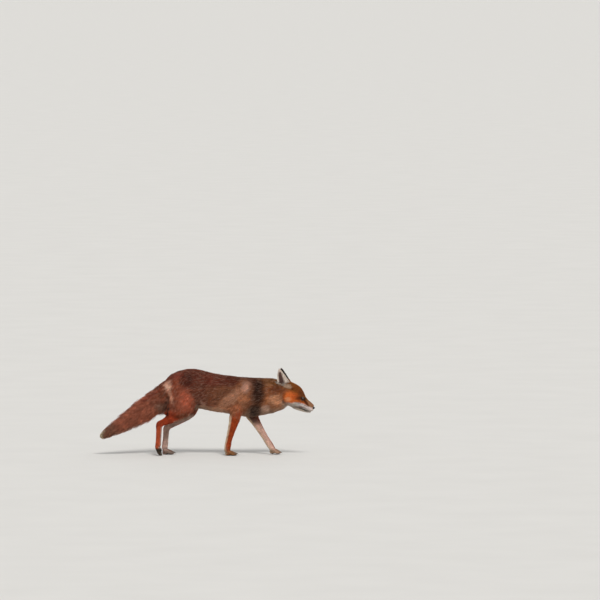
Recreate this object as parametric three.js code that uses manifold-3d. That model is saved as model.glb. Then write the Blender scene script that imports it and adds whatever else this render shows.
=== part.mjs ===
// A life-size red fox, walking with its head held low and its brush trailing behind.
//
// Units are millimetres. +X runs from the brush to the nose, +Y to the fox's left and +Z up.
// The fox stands on the plane Z = 0, and its origin is on that plane, under the middle of its box.
// The solids reach to the tips of the coat. Each body part is a closed shape of its own: a limb's
// lower part sits in a socket cut from the part above it, with a thin gap all round.

import * as THREE from "three";
import { mergeVertices } from "three/addons/utils/BufferGeometryUtils.js";
import Module from "manifold-3d";

const wasm = await Module();
wasm.setup();

// ---------------------------------------------------------------- driving dimensions

const GAP = 0.3; // clearance between neighbouring parts
const HALF_TRACK = 33; // from the midline to the middle of each paw

// The head hangs from the nose tip: its own axes run back along the palate and up from it.
const NOSE_TIP = [500, -6, 214];
const HEAD_PITCH = THREE.MathUtils.degToRad(26); // nose down
const HEAD_YAW = THREE.MathUtils.degToRad(-4); // nose turned a little to the right

const EYE_RADIUS = 8;
const EYE_BEHIND_NOSE = 71;
const EYE_ABOVE_NOSE = 20;
const EYE_OFF_MIDLINE = 19;

const EAR_LENGTH = 98;
const EAR_HALF_WIDTH = 29;
const EAR_FLARE = 0.8; // how much wider the front edge is at the root
const EAR_SPLAY = { left: 0.36, right: 0.2 }; // how far each ear leans out, per unit of its rise

const TOE_OFFSETS = [-13, -4.6, 4.6, 13]; // the four toes, across the paw
const OUTER_TOE_SHORTER = 7;

// The body's outline: place along X, belly, back and half the width.
const TORSO = [
  [-190, 285, 338, 18],
  [-180, 263, 357, 36],
  [-155, 240, 378, 49],
  [-110, 225, 394, 57],
  [-65, 217, 401, 57],
  [-20, 211, 393, 53],
  [30, 200, 380, 55],
  [85, 193, 370, 60],
  [150, 180, 363, 57],
  [205, 175, 359, 55],
  [250, 182, 357, 54],
  [295, 190, 356, 52],
  [330, 201, 351, 47],
  [354, 210, 334, 39],
  [370, 222, 312, 27],
];

// The brush: place along X and height of its axis, how far it rises above and hangs below that,
// and half its width.
const BRUSH = [
  [-128, 334, 18, 18, 14],
  [-150, 322, 34, 50, 26],
  [-182, 298, 51, 82, 36],
  [-225, 255, 60, 87, 44],
  [-245, 240, 60, 71, 47],
  [-264, 225, 59, 62, 48],
  [-304, 195, 56, 59, 49],
  [-384, 145, 41, 42, 37],
  [-448, 106, 25, 25, 23],
  [-484, 83, 12, 12, 11],
  [-500, 72, 3, 3, 3],
];

// The head: distance behind the nose, height of its widest level, half-width, rise and drop.
const HEAD = [
  [3, -3, 7, 8, 8],
  [8, -3, 11, 14, 12],
  [16, -5, 14.5, 20, 13.5],
  [30, -9, 18, 28.5, 14],
  [46, -9, 20, 33.5, 16],
  [60, -7, 24, 37, 19],
  [74, -8, 32, 50, 20],
  [88, -11, 41, 65, 22],
  [106, -14, 50, 76, 27],
  [126, -15, 57, 80, 29],
  [146, -10, 56, 75, 33],
  [164, -1, 47, 62, 36],
  [178, 7, 33, 45, 33],
  [188, 10, 14, 22, 17],
];

// The lower jaw, in the same terms.
const JAW = [
  [8, -20, 3, 3, 2.5],
  [12, -21, 8, 5.5, 5.5],
  [26, -25, 10.5, 6, 7.5],
  [40, -28, 11.5, 4.5, 8],
  [62, -30, 16.5, 6, 10],
  [78, -31, 22, 8, 11.5],
  [94, -31, 28, 10, 12.5],
  [106, -31, 22, 8, 10],
];

// Girths along each leg bone: share of its length, half-thickness, front and back. A row before 0
// or after 1 rounds off the end.
const SHOULDER_GIRTH = [
  [-0.12, 6, 14, 16],
  [0, 17, 30, 34],
  [0.3, 27, 44, 46],
  [0.6, 26, 50, 46],
  [0.82, 21, 42, 37],
  [1, 17, 28, 30],
  [1.1, 8, 14, 18],
];
const FOREARM_GIRTH = [
  [-0.16, 9, 12, 16],
  [0, 18, 26, 29],
  [0.2, 19, 28, 27],
  [0.5, 16.5, 22, 21],
  [0.8, 14, 17.5, 17],
  [1, 14, 16.5, 16],
  [1.1, 9, 10, 10],
];
const FORE_PASTERN_GIRTH = [
  [-0.25, 6, 7, 7],
  [0, 13.5, 15.5, 15.5],
  [0.5, 14.5, 14.5, 15],
  [1, 17.5, 14, 15],
  [1.35, 10, 8, 8],
];
const THIGH_GIRTH = [
  [-0.18, 6, 14, 18],
  [0, 24, 40, 50],
  [0.3, 31, 55, 64],
  [0.6, 31, 60, 80],
  [0.85, 27, 46, 94],
  [1.02, 21, 32, 92],
  [1.13, 9, 14, 58],
];
const SHANK_GIRTH = [
  [-0.12, 9, 14, 16],
  [0.06, 21, 29, 34],
  [0.3, 20, 28, 31],
  [0.6, 17, 24, 21],
  [0.85, 14, 19, 14.5],
  [1, 13.5, 17, 14],
  [1.1, 7, 8, 7],
];
const HIND_PASTERN_GIRTH = [
  [-0.13, 6, 5, 8],
  [0, 13, 14, 17],
  [0.18, 12.5, 14.5, 16],
  [0.5, 11.5, 14, 14],
  [0.85, 14, 13.5, 13.5],
  [1, 17, 13, 13],
  [1.14, 9, 7, 7],
];

// Where each leg's joints are, in the stride: left fore reaching, right fore bearing, right hind
// pushing off its toes and left hind passing under the body.
const FORELEGS = {
  right: {
    withers: [170, -28, 322],
    elbow: [140, -45, 205],
    wrist: [103, -HALF_TRACK - 1, 68],
    knuckle: [97, -HALF_TRACK, 27],
    toePitch: 0,
  },
  left: {
    withers: [184, 28, 322],
    elbow: [194, 45, 204],
    wrist: [266, HALF_TRACK + 1, 86],
    knuckle: [301, HALF_TRACK, 32],
    toePitch: 4,
  },
};
const HINDLEGS = {
  right: {
    hip: [-124, -34, 322],
    knee: [-88, -47, 203],
    hock: [-215, -38, 148],
    knuckle: [-221, -HALF_TRACK, 47],
    toePitch: 48,
  },
  left: {
    hip: [-118, 34, 320],
    knee: [-62, 47, 203],
    hock: [-183, 38, 127],
    knuckle: [-192, HALF_TRACK, 28],
    toePitch: 0,
  },
};

// ---------------------------------------------------------------- materials

function coat(color) {
  return new THREE.MeshStandardMaterial({ color, roughness: 0.85, metalness: 0 });
}

const MATERIALS = {
  body: coat("#7d4a31"),
  neck: coat("#8a5838"),
  face: coat("#b4673c"),
  pale: coat("#cdb6a6"),
  brush: coat("#8a5038"),
  leg: coat("#a04a2a"),
  ear: coat("#c6a793"),
  eye: new THREE.MeshStandardMaterial({ color: "#5a3413", roughness: 0.15, metalness: 0 }),
  nose: new THREE.MeshStandardMaterial({ color: "#1c1816", roughness: 0.45, metalness: 0 }),
};

// ---------------------------------------------------------------- solids

// A manifold solid from a closed three.js geometry.
function solidOf(geometry) {
  const bare = geometry.clone();
  bare.deleteAttribute("normal");
  bare.deleteAttribute("uv");
  const merged = mergeVertices(bare, 1e-4);
  return new wasm.Manifold(
    new wasm.Mesh({
      numProp: 3,
      vertProperties: new Float32Array(merged.attributes.position.array),
      triVerts: new Uint32Array(merged.index.array),
    }),
  );
}

// A three.js geometry from a manifold solid, with flat faces.
function geometryOf(solid) {
  const mesh = solid.getMesh();
  const geometry = new THREE.BufferGeometry();
  geometry.setAttribute("position", new THREE.BufferAttribute(mesh.vertProperties, 3));
  geometry.setIndex(new THREE.BufferAttribute(mesh.triVerts, 1));
  const faceted = geometry.toNonIndexed();
  faceted.computeVertexNormals();
  return faceted;
}

// The biggest body of a solid, without the slivers a cut leaves beside it.
function mainBody(solid) {
  return solid.decompose().reduce((best, body) => (body.volume() > best.volume() ? body : best));
}

// A box as a solid, from its size, centre and turn about Y.
function block(size, centre, turn = 0) {
  const box = new THREE.BoxGeometry(...size).rotateY(turn).translate(...centre);
  return solidOf(box);
}

// The signed power that squares off a circle's cosine or sine.
function squared(value, squareness) {
  return Math.sign(value) * Math.abs(value) ** (2 / squareness);
}

// Rings of points joined into one closed skin. Each ring is an array of Vector3, all of one length.
function skinOver(rings) {
  const sides = rings[0].length;
  const middle = (ring) =>
    ring.reduce((sum, p) => sum.add(p), new THREE.Vector3()).divideScalar(sides);
  const points = [...rings.flat(), middle(rings[0]), middle(rings.at(-1))];
  const [first, last] = [points.length - 2, points.length - 1];
  const index = [];
  for (let side = 0; side < sides; side++) {
    const next = (side + 1) % sides;
    index.push(first, next, side);
    const end = (rings.length - 1) * sides;
    index.push(last, end + side, end + next);
    for (let ring = 0; ring < rings.length - 1; ring++) {
      const [low, high] = [ring * sides, (ring + 1) * sides];
      index.push(low + side, low + next, high + next);
      index.push(low + side, high + next, high + side);
    }
  }
  const geometry = new THREE.BufferGeometry().setFromPoints(points);
  return geometry.setIndex(index);
}

// A smooth curve through rows of three numbers, read by its share of the rows.
function through(rows) {
  return new THREE.CatmullRomCurve3(
    rows.map((row) => new THREE.Vector3(...row)),
    false,
    "catmullrom",
    0.5,
  );
}

// A body shape lofted through stations. Each has its place and three girths: half the width to
// either side, the rise above the place and the drop below it. The rings stand square to the path,
// or upright where `upright` is set. They are ellipses at a squareness of 2, and fuller or leaner
// above or below that; it may change from the first ring to the last. `grow` swells the shape
// evenly, for cutting a socket.
function loft(stations, options) {
  const { sides = 14, rings = 14, squareness = [2, 2], upright = false, grow = 0 } = options;
  const places = through(stations.map((s) => s.place));
  const girths = through(stations.map((s) => s.girth));
  const left = new THREE.Vector3(0, 1, 0);
  const made = [];
  for (let ring = 0; ring <= rings; ring++) {
    const share = ring / rings;
    const place = places.getPoint(share);
    const girth = girths.getPoint(share);
    const along = upright ? new THREE.Vector3(1, 0, 0) : places.getTangent(share);
    const across = left.clone().addScaledVector(along, -left.dot(along)).normalize();
    const rise = along.clone().cross(across).normalize();
    if (ring === 0) place.addScaledVector(places.getTangent(0), -grow);
    if (ring === rings) place.addScaledVector(places.getTangent(1), grow);
    made.push(
      Array.from({ length: sides }, (_, side) => {
        const angle = (2 * Math.PI * side) / sides;
        const power = THREE.MathUtils.lerp(...squareness, share);
        const sine = squared(Math.sin(angle), power);
        const height = (sine > 0 ? girth.y : girth.z) + grow;
        return place
          .clone()
          .addScaledVector(across, (girth.x + grow) * squared(Math.cos(angle), power))
          .addScaledVector(rise, height * sine);
      }),
    );
  }
  return skinOver(made);
}

// A leg part round a straight bone, from one joint to the next.
function limb(from, to, girths, options) {
  const start = new THREE.Vector3(...from);
  const end = new THREE.Vector3(...to);
  const stations = girths.map(([share, thickness, front, back]) => ({
    place: start.clone().lerp(end, share).toArray(),
    girth: [thickness, front, back],
  }));
  return solidOf(loft(stations, { sides: 10, rings: 7, ...options }));
}

// ---------------------------------------------------------------- torso and brush

function torso() {
  const stations = TORSO.map(([x, belly, back, halfWidth]) => ({
    place: [x, 0, (belly + back) / 2],
    girth: [halfWidth, (back - belly) / 2, (back - belly) / 2],
  }));
  return solidOf(loft(stations, { sides: 16, rings: 16, squareness: [2.1, 2.1], upright: true }));
}

function brush(grow = 0) {
  const stations = BRUSH.map(([x, z, rise, drop, halfWidth]) => ({
    place: [x, 0, z],
    girth: [halfWidth, drop, rise],
  }));
  return solidOf(loft(stations, { sides: 12, rings: 12, grow }));
}

// ---------------------------------------------------------------- head

const HEAD_TURN = new THREE.Euler(0, HEAD_PITCH, HEAD_YAW, "ZYX");
const HEAD_MATRIX = new THREE.Matrix4().compose(
  new THREE.Vector3(...NOSE_TIP),
  new THREE.Quaternion().setFromEuler(HEAD_TURN),
  new THREE.Vector3(1, 1, 1),
);

// A shape made in the head's own axes, moved to where the head is.
function onHead(geometry) {
  return solidOf(geometry.applyMatrix4(HEAD_MATRIX));
}

function headLoft(rows, options) {
  const stations = rows.map(([behind, level, halfWidth, rise, drop]) => ({
    place: [-behind, 0, level],
    girth: [halfWidth, rise, drop],
  }));
  return loft(stations.reverse(), { upright: true, ...options });
}

function head(grow = 0) {
  return onHead(headLoft(HEAD, { sides: 16, rings: 16, squareness: [1.84, 2.25], grow }));
}

function jaw(grow = 0) {
  return onHead(headLoft(JAW, { sides: 10, rings: 9, squareness: [2.3, 2.3], grow }));
}

function nose(grow = 0) {
  const pad = new THREE.SphereGeometry(1, 10, 6);
  pad.scale(8.5 + grow, 9.5 + grow, 8 + grow).translate(-8.5, 0, 0);
  return onHead(pad);
}

function eye(side, grow = 0) {
  const ball = new THREE.SphereGeometry(EYE_RADIUS + grow, 8, 7);
  return onHead(
    ball.translate(-EYE_BEHIND_NOSE, side * EYE_OFF_MIDLINE, EYE_ABOVE_NOSE),
  );
}

// An ear is a cupped leaf. `up` is its share of the way to the tip and `across` runs from its rear
// edge, -1, to its front edge, 1. The middle of the leaf lies deeper than its edges.
function earLeaf(side, up, across, lift) {
  const taper = Math.sqrt(Math.max(0, 1 - up ** 2.2));
  const halfWidth = EAR_HALF_WIDTH * taper * (0.86 + 0.5 * up * (1 - up));
  const cup = 20 * (1 - up) ** 0.8 + 3;
  const root = new THREE.Vector3(-171, side * 35, 28);
  const splay = side > 0 ? EAR_SPLAY.left : EAR_SPLAY.right;
  const tipward = new THREE.Vector3(-0.6, side * splay, 0.76).normalize();
  const outward = new THREE.Vector3(0.3, side * 0.92, 0.05);
  outward.addScaledVector(tipward, -tipward.dot(outward)).normalize();
  const forward = new THREE.Vector3().crossVectors(outward, tipward).multiplyScalar(side);
  const flare = across > 0 ? 1 + EAR_FLARE * (1 - Math.max(0, up)) ** 2 : 1;
  const bend = cup * (1 - across ** 2);
  return root
    .addScaledVector(tipward, EAR_LENGTH * up - 8)
    .addScaledVector(forward, halfWidth * across * flare)
    .addScaledVector(outward, lift - bend);
}

// The leaf made solid: an outer and an inner face on one grid, and a rim between them.
function ear(side) {
  const [rows, columns] = [9, 6];
  const loop = (row) => {
    const up = Math.min(row / rows, 0.995);
    const thick = 2.9 - 1.3 * up;
    const steps = Array.from({ length: columns + 1 }, (_, i) => -1 + (2 * i) / columns);
    const inner = steps.map((across) => earLeaf(side, up, across, thick * (1 - 0.7 * across ** 2)));
    const outer = steps.map((across) => earLeaf(side, up, across, -thick * (1 - 0.7 * across ** 2)));
    const ring = [...inner, ...outer.reverse()];
    return side > 0 ? ring.reverse() : ring;
  };
  const rings = Array.from({ length: rows + 1 }, (_, row) => loop(row));
  return onHead(skinOver(rings));
}

// ---------------------------------------------------------------- paws

// One toe with its claw, from the knuckle forward. It arches down to the tip, and is turned down
// at the knuckle by the paw's pitch.
function toe(knuckle, offset, pitch) {
  const outer = Math.abs(offset) > 10;
  const reach = outer ? -OUTER_TOE_SHORTER : 0;
  const turn = THREE.MathUtils.degToRad(pitch);
  const stand = (forward, z, spread = 1) => {
    const [x, height] = [forward + reach * (forward / 42), z - 27];
    return [
      knuckle[0] + x * Math.cos(turn) + height * Math.sin(turn),
      knuckle[1] + offset * spread,
      knuckle[2] - x * Math.sin(turn) + height * Math.cos(turn),
    ];
  };
  const digit = [
    { place: stand(-8, 22, 0.7), girth: [4, 5, 6] },
    { place: stand(4, 19, 0.85), girth: [7.2, 8.5, 12] },
    { place: stand(20, 14, 1), girth: [7.2, 8.5, 11] },
    { place: stand(34, 9, 1.06), girth: [6.8, 7, 10.5] },
    { place: stand(42, 6.5, 1.08), girth: [3.5, 3.5, 5] },
  ];
  const claw = [
    { place: stand(36, 10, 1.06), girth: [1.8, 2.4, 2.4] },
    { place: stand(44, 9.5, 1.1), girth: [1.6, 2.2, 2.2] },
    { place: stand(51, 4.5, 1.12), girth: [0.7, 0.8, 0.8] },
  ];
  return solidOf(loft(digit, { sides: 5, rings: 4 })).add(
    solidOf(loft(claw, { sides: 4, rings: 2 })),
  );
}

// Pastern, toes and heel pad in one, trimmed flat where it meets the floor.
function paw(joint, leg, girths) {
  const { knuckle, toePitch } = leg;
  const pad = new THREE.SphereGeometry(1, 8, 6)
    .scale(15, 14, 11)
    .rotateY(THREE.MathUtils.degToRad(toePitch))
    .translate(knuckle[0] + 4, knuckle[1], knuckle[2] - 18);
  let whole = limb(joint, knuckle, girths, { sides: 8, rings: 5 }).add(solidOf(pad));
  for (const offset of TOE_OFFSETS) whole = whole.add(toe(knuckle, offset, toePitch));
  const aboveFloor = block([400, 400, 400], [knuckle[0], knuckle[1], 200]);
  return whole.intersect(aboveFloor);
}

// ---------------------------------------------------------------- assembly

const parts = {};

function addPart(name, solid, pivot, material, parent = null) {
  const geometry = geometryOf(mainBody(solid)).translate(-pivot[0], -pivot[1], -pivot[2]);
  const mesh = new THREE.Mesh(geometry, material);
  mesh.name = name;
  mesh.userData.pivot = new THREE.Vector3(...pivot);
  mesh.position.copy(mesh.userData.pivot);
  if (parent) mesh.position.sub(parent.userData.pivot);
  (parent ?? fox).add(mesh);
  parts[name] = mesh;
  return mesh;
}

const fox = new THREE.Group();

// The torso is cut into trunk and neck by a thin slice, slanting from the withers to the breast.
const WITHERS_X = 196;
const BREAST_X = 262;
const SLANT = Math.atan2(BREAST_X - WITHERS_X, 175);
const NECK_CUT = [(WITHERS_X + BREAST_X) / 2, 0, 270];
const BIG = 900;
const behindCut = (shift) => {
  const half = BIG / 2 - shift;
  const centre = [
    NECK_CUT[0] - half * Math.cos(SLANT),
    0,
    NECK_CUT[2] - half * Math.sin(SLANT),
  ];
  return block([BIG, BIG, BIG], centre, -SLANT);
};
const wholeTorso = torso();

let trunkSolid = wholeTorso.intersect(behindCut(-GAP / 2)).subtract(brush(GAP));
let neckSolid = wholeTorso.subtract(behindCut(GAP / 2)).subtract(head(GAP));
let headSolid = head().subtract(jaw(GAP)).subtract(nose(GAP));
for (const side of [1, -1]) {
  headSolid = headSolid.subtract(eye(side, GAP));
}

const legSolids = [];
for (const [side, leg] of Object.entries(FORELEGS)) {
  const shoulder = (grow) => limb(leg.withers, leg.elbow, SHOULDER_GIRTH, { grow });
  const forearm = (grow) => limb(leg.elbow, leg.wrist, FOREARM_GIRTH, { grow });
  const pastern = (grow) =>
    limb(leg.wrist, leg.knuckle, FORE_PASTERN_GIRTH, { grow, sides: 8, rings: 5 });
  trunkSolid = trunkSolid.subtract(shoulder(GAP)).subtract(forearm(GAP));
  neckSolid = neckSolid.subtract(shoulder(GAP)).subtract(forearm(GAP));
  legSolids.push(
    [`shoulder_${side}`, shoulder(0).subtract(forearm(GAP)), leg.withers, "body"],
    [`forearm_${side}`, forearm(0).subtract(pastern(GAP)), leg.elbow, "leg"],
    [`forepaw_${side}`, paw(leg.wrist, leg, FORE_PASTERN_GIRTH), leg.wrist, "leg"],
  );
}
for (const [side, leg] of Object.entries(HINDLEGS)) {
  const thigh = (grow) => limb(leg.hip, leg.knee, THIGH_GIRTH, { grow });
  const shank = (grow) => limb(leg.knee, leg.hock, SHANK_GIRTH, { grow });
  const pastern = (grow) =>
    limb(leg.hock, leg.knuckle, HIND_PASTERN_GIRTH, { grow, sides: 8, rings: 5 });
  trunkSolid = trunkSolid.subtract(thigh(GAP)).subtract(shank(GAP));
  legSolids.push(
    [`thigh_${side}`, thigh(0).subtract(shank(GAP)).subtract(brush(GAP)), leg.hip, "body"],
    [`shank_${side}`, shank(0).subtract(pastern(GAP)), leg.knee, "leg"],
    [`hindpaw_${side}`, paw(leg.hock, leg, HIND_PASTERN_GIRTH), leg.hock, "leg"],
  );
}

const trunk = addPart("trunk", trunkSolid, [20, 0, 290], MATERIALS.body);
const neck = addPart("neck", neckSolid, [250, 0, 280], MATERIALS.neck, trunk);
addPart("brush", brush(), [-150, 0, 322], MATERIALS.brush, trunk);
const headMesh = addPart("head", headSolid, [360, 0, 290], MATERIALS.face, neck);
addPart("lower_jaw", jaw(), NOSE_TIP, MATERIALS.pale, headMesh);
addPart("nose", nose(), NOSE_TIP, MATERIALS.nose, headMesh);
for (const [name, side] of [
  ["left", 1],
  ["right", -1],
]) {
  addPart(`eye_${name}`, eye(side), NOSE_TIP, MATERIALS.eye, headMesh);
  addPart(`ear_${name}`, ear(side).subtract(head(GAP)).subtract(wholeTorso), NOSE_TIP, MATERIALS.ear, headMesh);
}
for (const [name, solid, pivot, material] of legSolids) {
  addPart(name, solid, pivot, MATERIALS[material], trunk);
}

// The origin goes to the floor under the middle of the fox's box.
fox.updateMatrixWorld(true);
const box = new THREE.Box3().setFromObject(fox);
const middle = box.getCenter(new THREE.Vector3());
fox.position.set(-middle.x, -middle.y, -box.min.z);

export default fox;
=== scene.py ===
import bpy
import numpy as np
import openvdb
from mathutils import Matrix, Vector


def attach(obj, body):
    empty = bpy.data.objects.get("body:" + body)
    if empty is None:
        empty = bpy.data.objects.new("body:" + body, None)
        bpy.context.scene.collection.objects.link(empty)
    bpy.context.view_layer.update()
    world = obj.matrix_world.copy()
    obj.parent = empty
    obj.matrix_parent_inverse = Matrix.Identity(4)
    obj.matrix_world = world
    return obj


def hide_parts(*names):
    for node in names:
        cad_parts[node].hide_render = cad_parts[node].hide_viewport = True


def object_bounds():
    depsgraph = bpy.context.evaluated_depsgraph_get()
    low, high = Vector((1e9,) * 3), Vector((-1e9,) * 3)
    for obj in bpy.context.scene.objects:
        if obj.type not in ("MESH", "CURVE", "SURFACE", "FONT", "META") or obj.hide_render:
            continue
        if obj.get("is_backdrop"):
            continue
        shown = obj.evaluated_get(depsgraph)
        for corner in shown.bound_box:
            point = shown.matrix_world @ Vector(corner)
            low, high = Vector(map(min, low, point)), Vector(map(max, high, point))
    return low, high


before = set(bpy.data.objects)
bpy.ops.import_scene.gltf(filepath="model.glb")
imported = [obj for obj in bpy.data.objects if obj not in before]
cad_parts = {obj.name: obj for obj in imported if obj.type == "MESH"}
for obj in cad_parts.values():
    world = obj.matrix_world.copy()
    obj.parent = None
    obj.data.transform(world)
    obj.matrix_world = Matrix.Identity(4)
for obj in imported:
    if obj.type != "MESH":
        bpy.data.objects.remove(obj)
cad_low, cad_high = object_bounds()
MM = 0.001
print("frame", len(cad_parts), "nodes, length", round(cad_high.x - cad_low.x, 3))

# %% [markdown]
# ## Colours and a little smooth noise
#
# Every colour is written as an sRGB hex value and turned into linear light by one function. Hair
# is never even, so a soft noise is needed too. Blender's own noise works in a shader or on one
# point at a time, so this one, for whole arrays, adds up a few sine waves that run in random
# directions. That gives rounded patches of about one size.
# %% Colour and noise helpers
def linear(hex_colour):
    """Linear RGB of an sRGB hex colour: each channel through the sRGB curve."""
    channels = np.array([int(hex_colour[i : i + 2], 16) / 255 for i in (1, 3, 5)])
    return np.where(channels < 0.04045, channels / 12.92, ((channels + 0.055) / 1.055) ** 2.4)


def smooth(low, high, value):
    """A ramp from 0 at low to 1 at high with level ends: 3t squared less 2t cubed."""
    t = np.clip((value - low) / (high - low), 0, 1)
    return t * t * (3 - 2 * t)


def waves(points, size, seed, count=9):
    """Soft noise of about -1 to 1: a sum of sines along random directions, one cycle per size."""
    rng = np.random.default_rng(seed)
    directions = rng.normal(size=(count, 3))
    directions /= np.linalg.norm(directions, axis=1, keepdims=True)
    pitch = 2 * np.pi / (size * rng.uniform(0.7, 1.4, count))
    phase = rng.uniform(0, 2 * np.pi, count)
    return np.sin(points @ (directions.T * pitch) + phase).sum(1) / np.sqrt(count / 2)


def unit(vectors):
    """Each row divided by its length."""
    return vectors / np.maximum(np.linalg.norm(vectors, axis=-1, keepdims=True), 1e-12)


print("orange", linear("#b0481d").round(3), "in linear light")

# %% [markdown]
# ## Where the fox's bones are
#
# The coat changes along the body: it is a few millimetres on the muzzle and six centimetres on the
# brush, and it lies back along the trunk and down the legs. The simplest way to describe all that
# is a table of straight "coat bones". Each has a start and an end, the distance to the surface
# round it, the way its hair points, how long the hair is, how thick the coat lies, and its colour.
# Any point then takes a blend of the bones near it. All numbers are millimetres in the frame.
# %% The head's own axes
NOSE_TIP = np.array([500.55, -6.0, 214.0])
PITCH, YAW = np.radians(26), np.radians(-4)
TURN_Y = np.array(
    [[np.cos(PITCH), 0, np.sin(PITCH)], [0, 1, 0], [-np.sin(PITCH), 0, np.cos(PITCH)]]
)
TURN_Z = np.array([[np.cos(YAW), -np.sin(YAW), 0], [np.sin(YAW), np.cos(YAW), 0], [0, 0, 1]])
HEAD_AXES = TURN_Z @ TURN_Y  # columns: forward, left and up of the head


def head_to_frame(local):
    """Frame place in mm of a place in the head's axes: turned, then moved to the nose tip."""
    return NOSE_TIP + np.asarray(local, float) @ HEAD_AXES.T


def frame_to_head(points):
    """The inverse: moved from the nose tip, then turned back."""
    return (np.asarray(points, float) - NOSE_TIP) @ HEAD_AXES


print("head faces", HEAD_AXES[:, 0].round(2))

# %% [markdown]
# ## The legs' joints
#
# A fox walks on its toes, so a leg bends at three places below the trunk: elbow, wrist and knuckle
# in front, and knee, hock and knuckle behind. These are the same as the solids' joints, and the
# last place is under the tips of the toes. They are written once, as both the coat and the claws
# hang on them. An armature could hold them too, but this fox never moves.
# %% The legs' joints
# from the withers or the hip down to the tips of the toes: x, y and z in mm
FORELEGS = {
    "right": [(170, -28, 322), (140, -45, 205), (103, -34, 68), (97, -33, 27), (138, -33, 7)],
    "left": [(184, 28, 322), (194, 45, 204), (266, 34, 86), (301, 33, 32), (342, 33, 8)],
}
HINDLEGS = {
    "right": [(-124, -34, 322), (-88, -47, 203), (-215, -38, 148), (-221, -33, 47), (-208, -33, 6)],
    "left": [(-118, 34, 320), (-62, 47, 203), (-183, 38, 127), (-192, 33, 28), (-151, 33, 7)],
}
print("joints in a leg", len(FORELEGS["right"]))

# %% [markdown]
# ## The table of coat bones
#
# A row holds a bone's start, end and radius, its hair's direction, length and depth, and its
# colour. Painting weights by hand is the usual way to say which bone rules which place, but a table
# can be read, corrected in one place, and asked about any point.
# %% The coat bones
def head_bone(start, end, *rest):
    """A row whose two places are in the head's axes."""
    return (head_to_frame(start), head_to_frame(end), *rest)


# start, end, radius, hair direction (x, outward, z), hair length, coat depth, colour
MIDLINE_BONES = [
    head_bone((-4, 0, -4), (-52, 0, 0), 20, (-0.9, 0.1, 0.4), 5, 1.1, "#a36e48"),
    head_bone((-78, 0, 22), (-150, 0, 32), 36, (-0.85, 0.1, 0.5), 9, 3, "#925724"),
    head_bone((-22, 0, -22), (-112, 0, -30), 22, (-0.95, 0.1, -0.1), 8, 2.2, "#cdbfb1"),
    ((345, 0, 322), (240, 0, 330), 36, (-1, 0, -0.1), 30, 8, "#8d5a32"),
    ((380, 0, 236), (280, 0, 214), 34, (-0.92, 0, -0.35), 28, 8, "#bb7c54"),
    ((240, 0, 328), (120, 0, 330), 44, (-1, 0, -0.12), 28, 7, "#623421"),
    ((272, 0, 214), (200, 0, 205), 40, (-0.75, 0, -0.66), 26, 7, "#957059"),
    ((110, 0, 332), (-150, 0, 345), 48, (-1, 0, -0.1), 27, 6, "#713827"),
    ((170, 0, 206), (-10, 0, 224), 34, (-1, 0, 0.05), 22, 6, "#bb8161"),
    ((-120, 0, 340), (-178, 0, 318), 44, (-0.85, 0, -0.5), 28, 7, "#84422e"),
    ((-180, 0, 300), (-226, 0, 256), 52, (-0.75, 0, -0.66), 42, 17, "#7d4028"),
    ((-226, 0, 256), (-384, 0, 146), 50, (-0.82, 0, -0.57), 56, 27, "#a9634a"),
    ((-384, 0, 146), (-470, 0, 94), 32, (-0.84, 0, -0.54), 60, 19, "#8a5a45"),
    ((-470, 0, 94), (-500, 0, 72), 14, (-0.82, 0, -0.57), 45, 9, "#d8c6a4"),
]
PAIRED_BONES = [
    head_bone((-70, 20, -14), (-135, 40, -14), 28, (-0.93, 0.4, -0.1), 18, 6, "#db7332"),
    ((338, 22, 276), (250, 26, 268), 44, (-0.93, 0, -0.36), 30, 8, "#9f5f39"),
    ((220, 22, 270), (20, 24, 275), 50, (-0.93, 0, -0.36), 27, 6, "#865135"),
    ((20, 20, 275), (-120, 24, 300), 50, (-0.95, 0, -0.3), 27, 6, "#733d2a"),
]
print(len(MIDLINE_BONES), "bones on the midline and", len(PAIRED_BONES), "on each side")

# %% [markdown]
# ## The legs' coat bones, and all of them together
#
# The hair of a leg is short and lies down along it, so most of its rows need no direction of their
# own. The rows are then turned into arrays, one for each column, because the next steps ask about
# a hundred thousand places at once.
# %% The legs' coat bones
def leg_bones():
    """The rows for the four legs: down each bone from its joint, forward along the toes."""
    rows = []
    for withers, elbow, wrist, knuckle, toes in FORELEGS.values():
        rows += [
            (withers, elbow, 38, (-0.45, 0, -0.9), 22, 6, "#985f3f"),
            (elbow, wrist, 22, None, 9, 2.3, "#b0481d"),
            (wrist, knuckle, 15, None, 6.5, 1.4, "#ab471e"),
            (knuckle, toes, 11, (0.95, 0, -0.3), 4, 0.7, "#8a4724"),
        ]
    for hip, knee, hock, knuckle, toes in HINDLEGS.values():
        rows += [
            (hip, knee, 52, (-0.5, 0, -0.87), 22, 5.5, "#994e34"),
            (knee, hock, 26, None, 11, 2.8, "#b14727"),
            (hock, knuckle, 14, None, 6.5, 1.4, "#bd542f"),
            (knuckle, toes, 11, None, 4, 0.7, "#7a4325"),
        ]
    return rows


def coat_table():
    """All bones as arrays: starts, ends, radii, directions, lengths, depths and linear colours."""
    rows = MIDLINE_BONES + leg_bones()
    for start, end, *rest in PAIRED_BONES:
        for side in (1, -1):
            mirrored = [np.array(p, float) * (1, side, 1) for p in (start, end)]
            rows.append((*mirrored, *rest))
    starts = np.array([row[0] for row in rows], float)
    ends = np.array([row[1] for row in rows], float)
    flows = [e - s if row[3] is None else row[3] for row, s, e in zip(rows, starts, ends)]
    return {
        "start": starts,
        "end": ends,
        "radius": np.array([row[2] for row in rows], float),
        "flow": unit(np.array(flows, float)),
        "spread": np.array([0.0 if row[3] is None else row[3][1] for row in rows]),
        "length": np.array([row[4] for row in rows], float),
        "depth": np.array([row[5] for row in rows], float),
        "colour": np.array([linear(row[6]) for row in rows]),
    }


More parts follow.
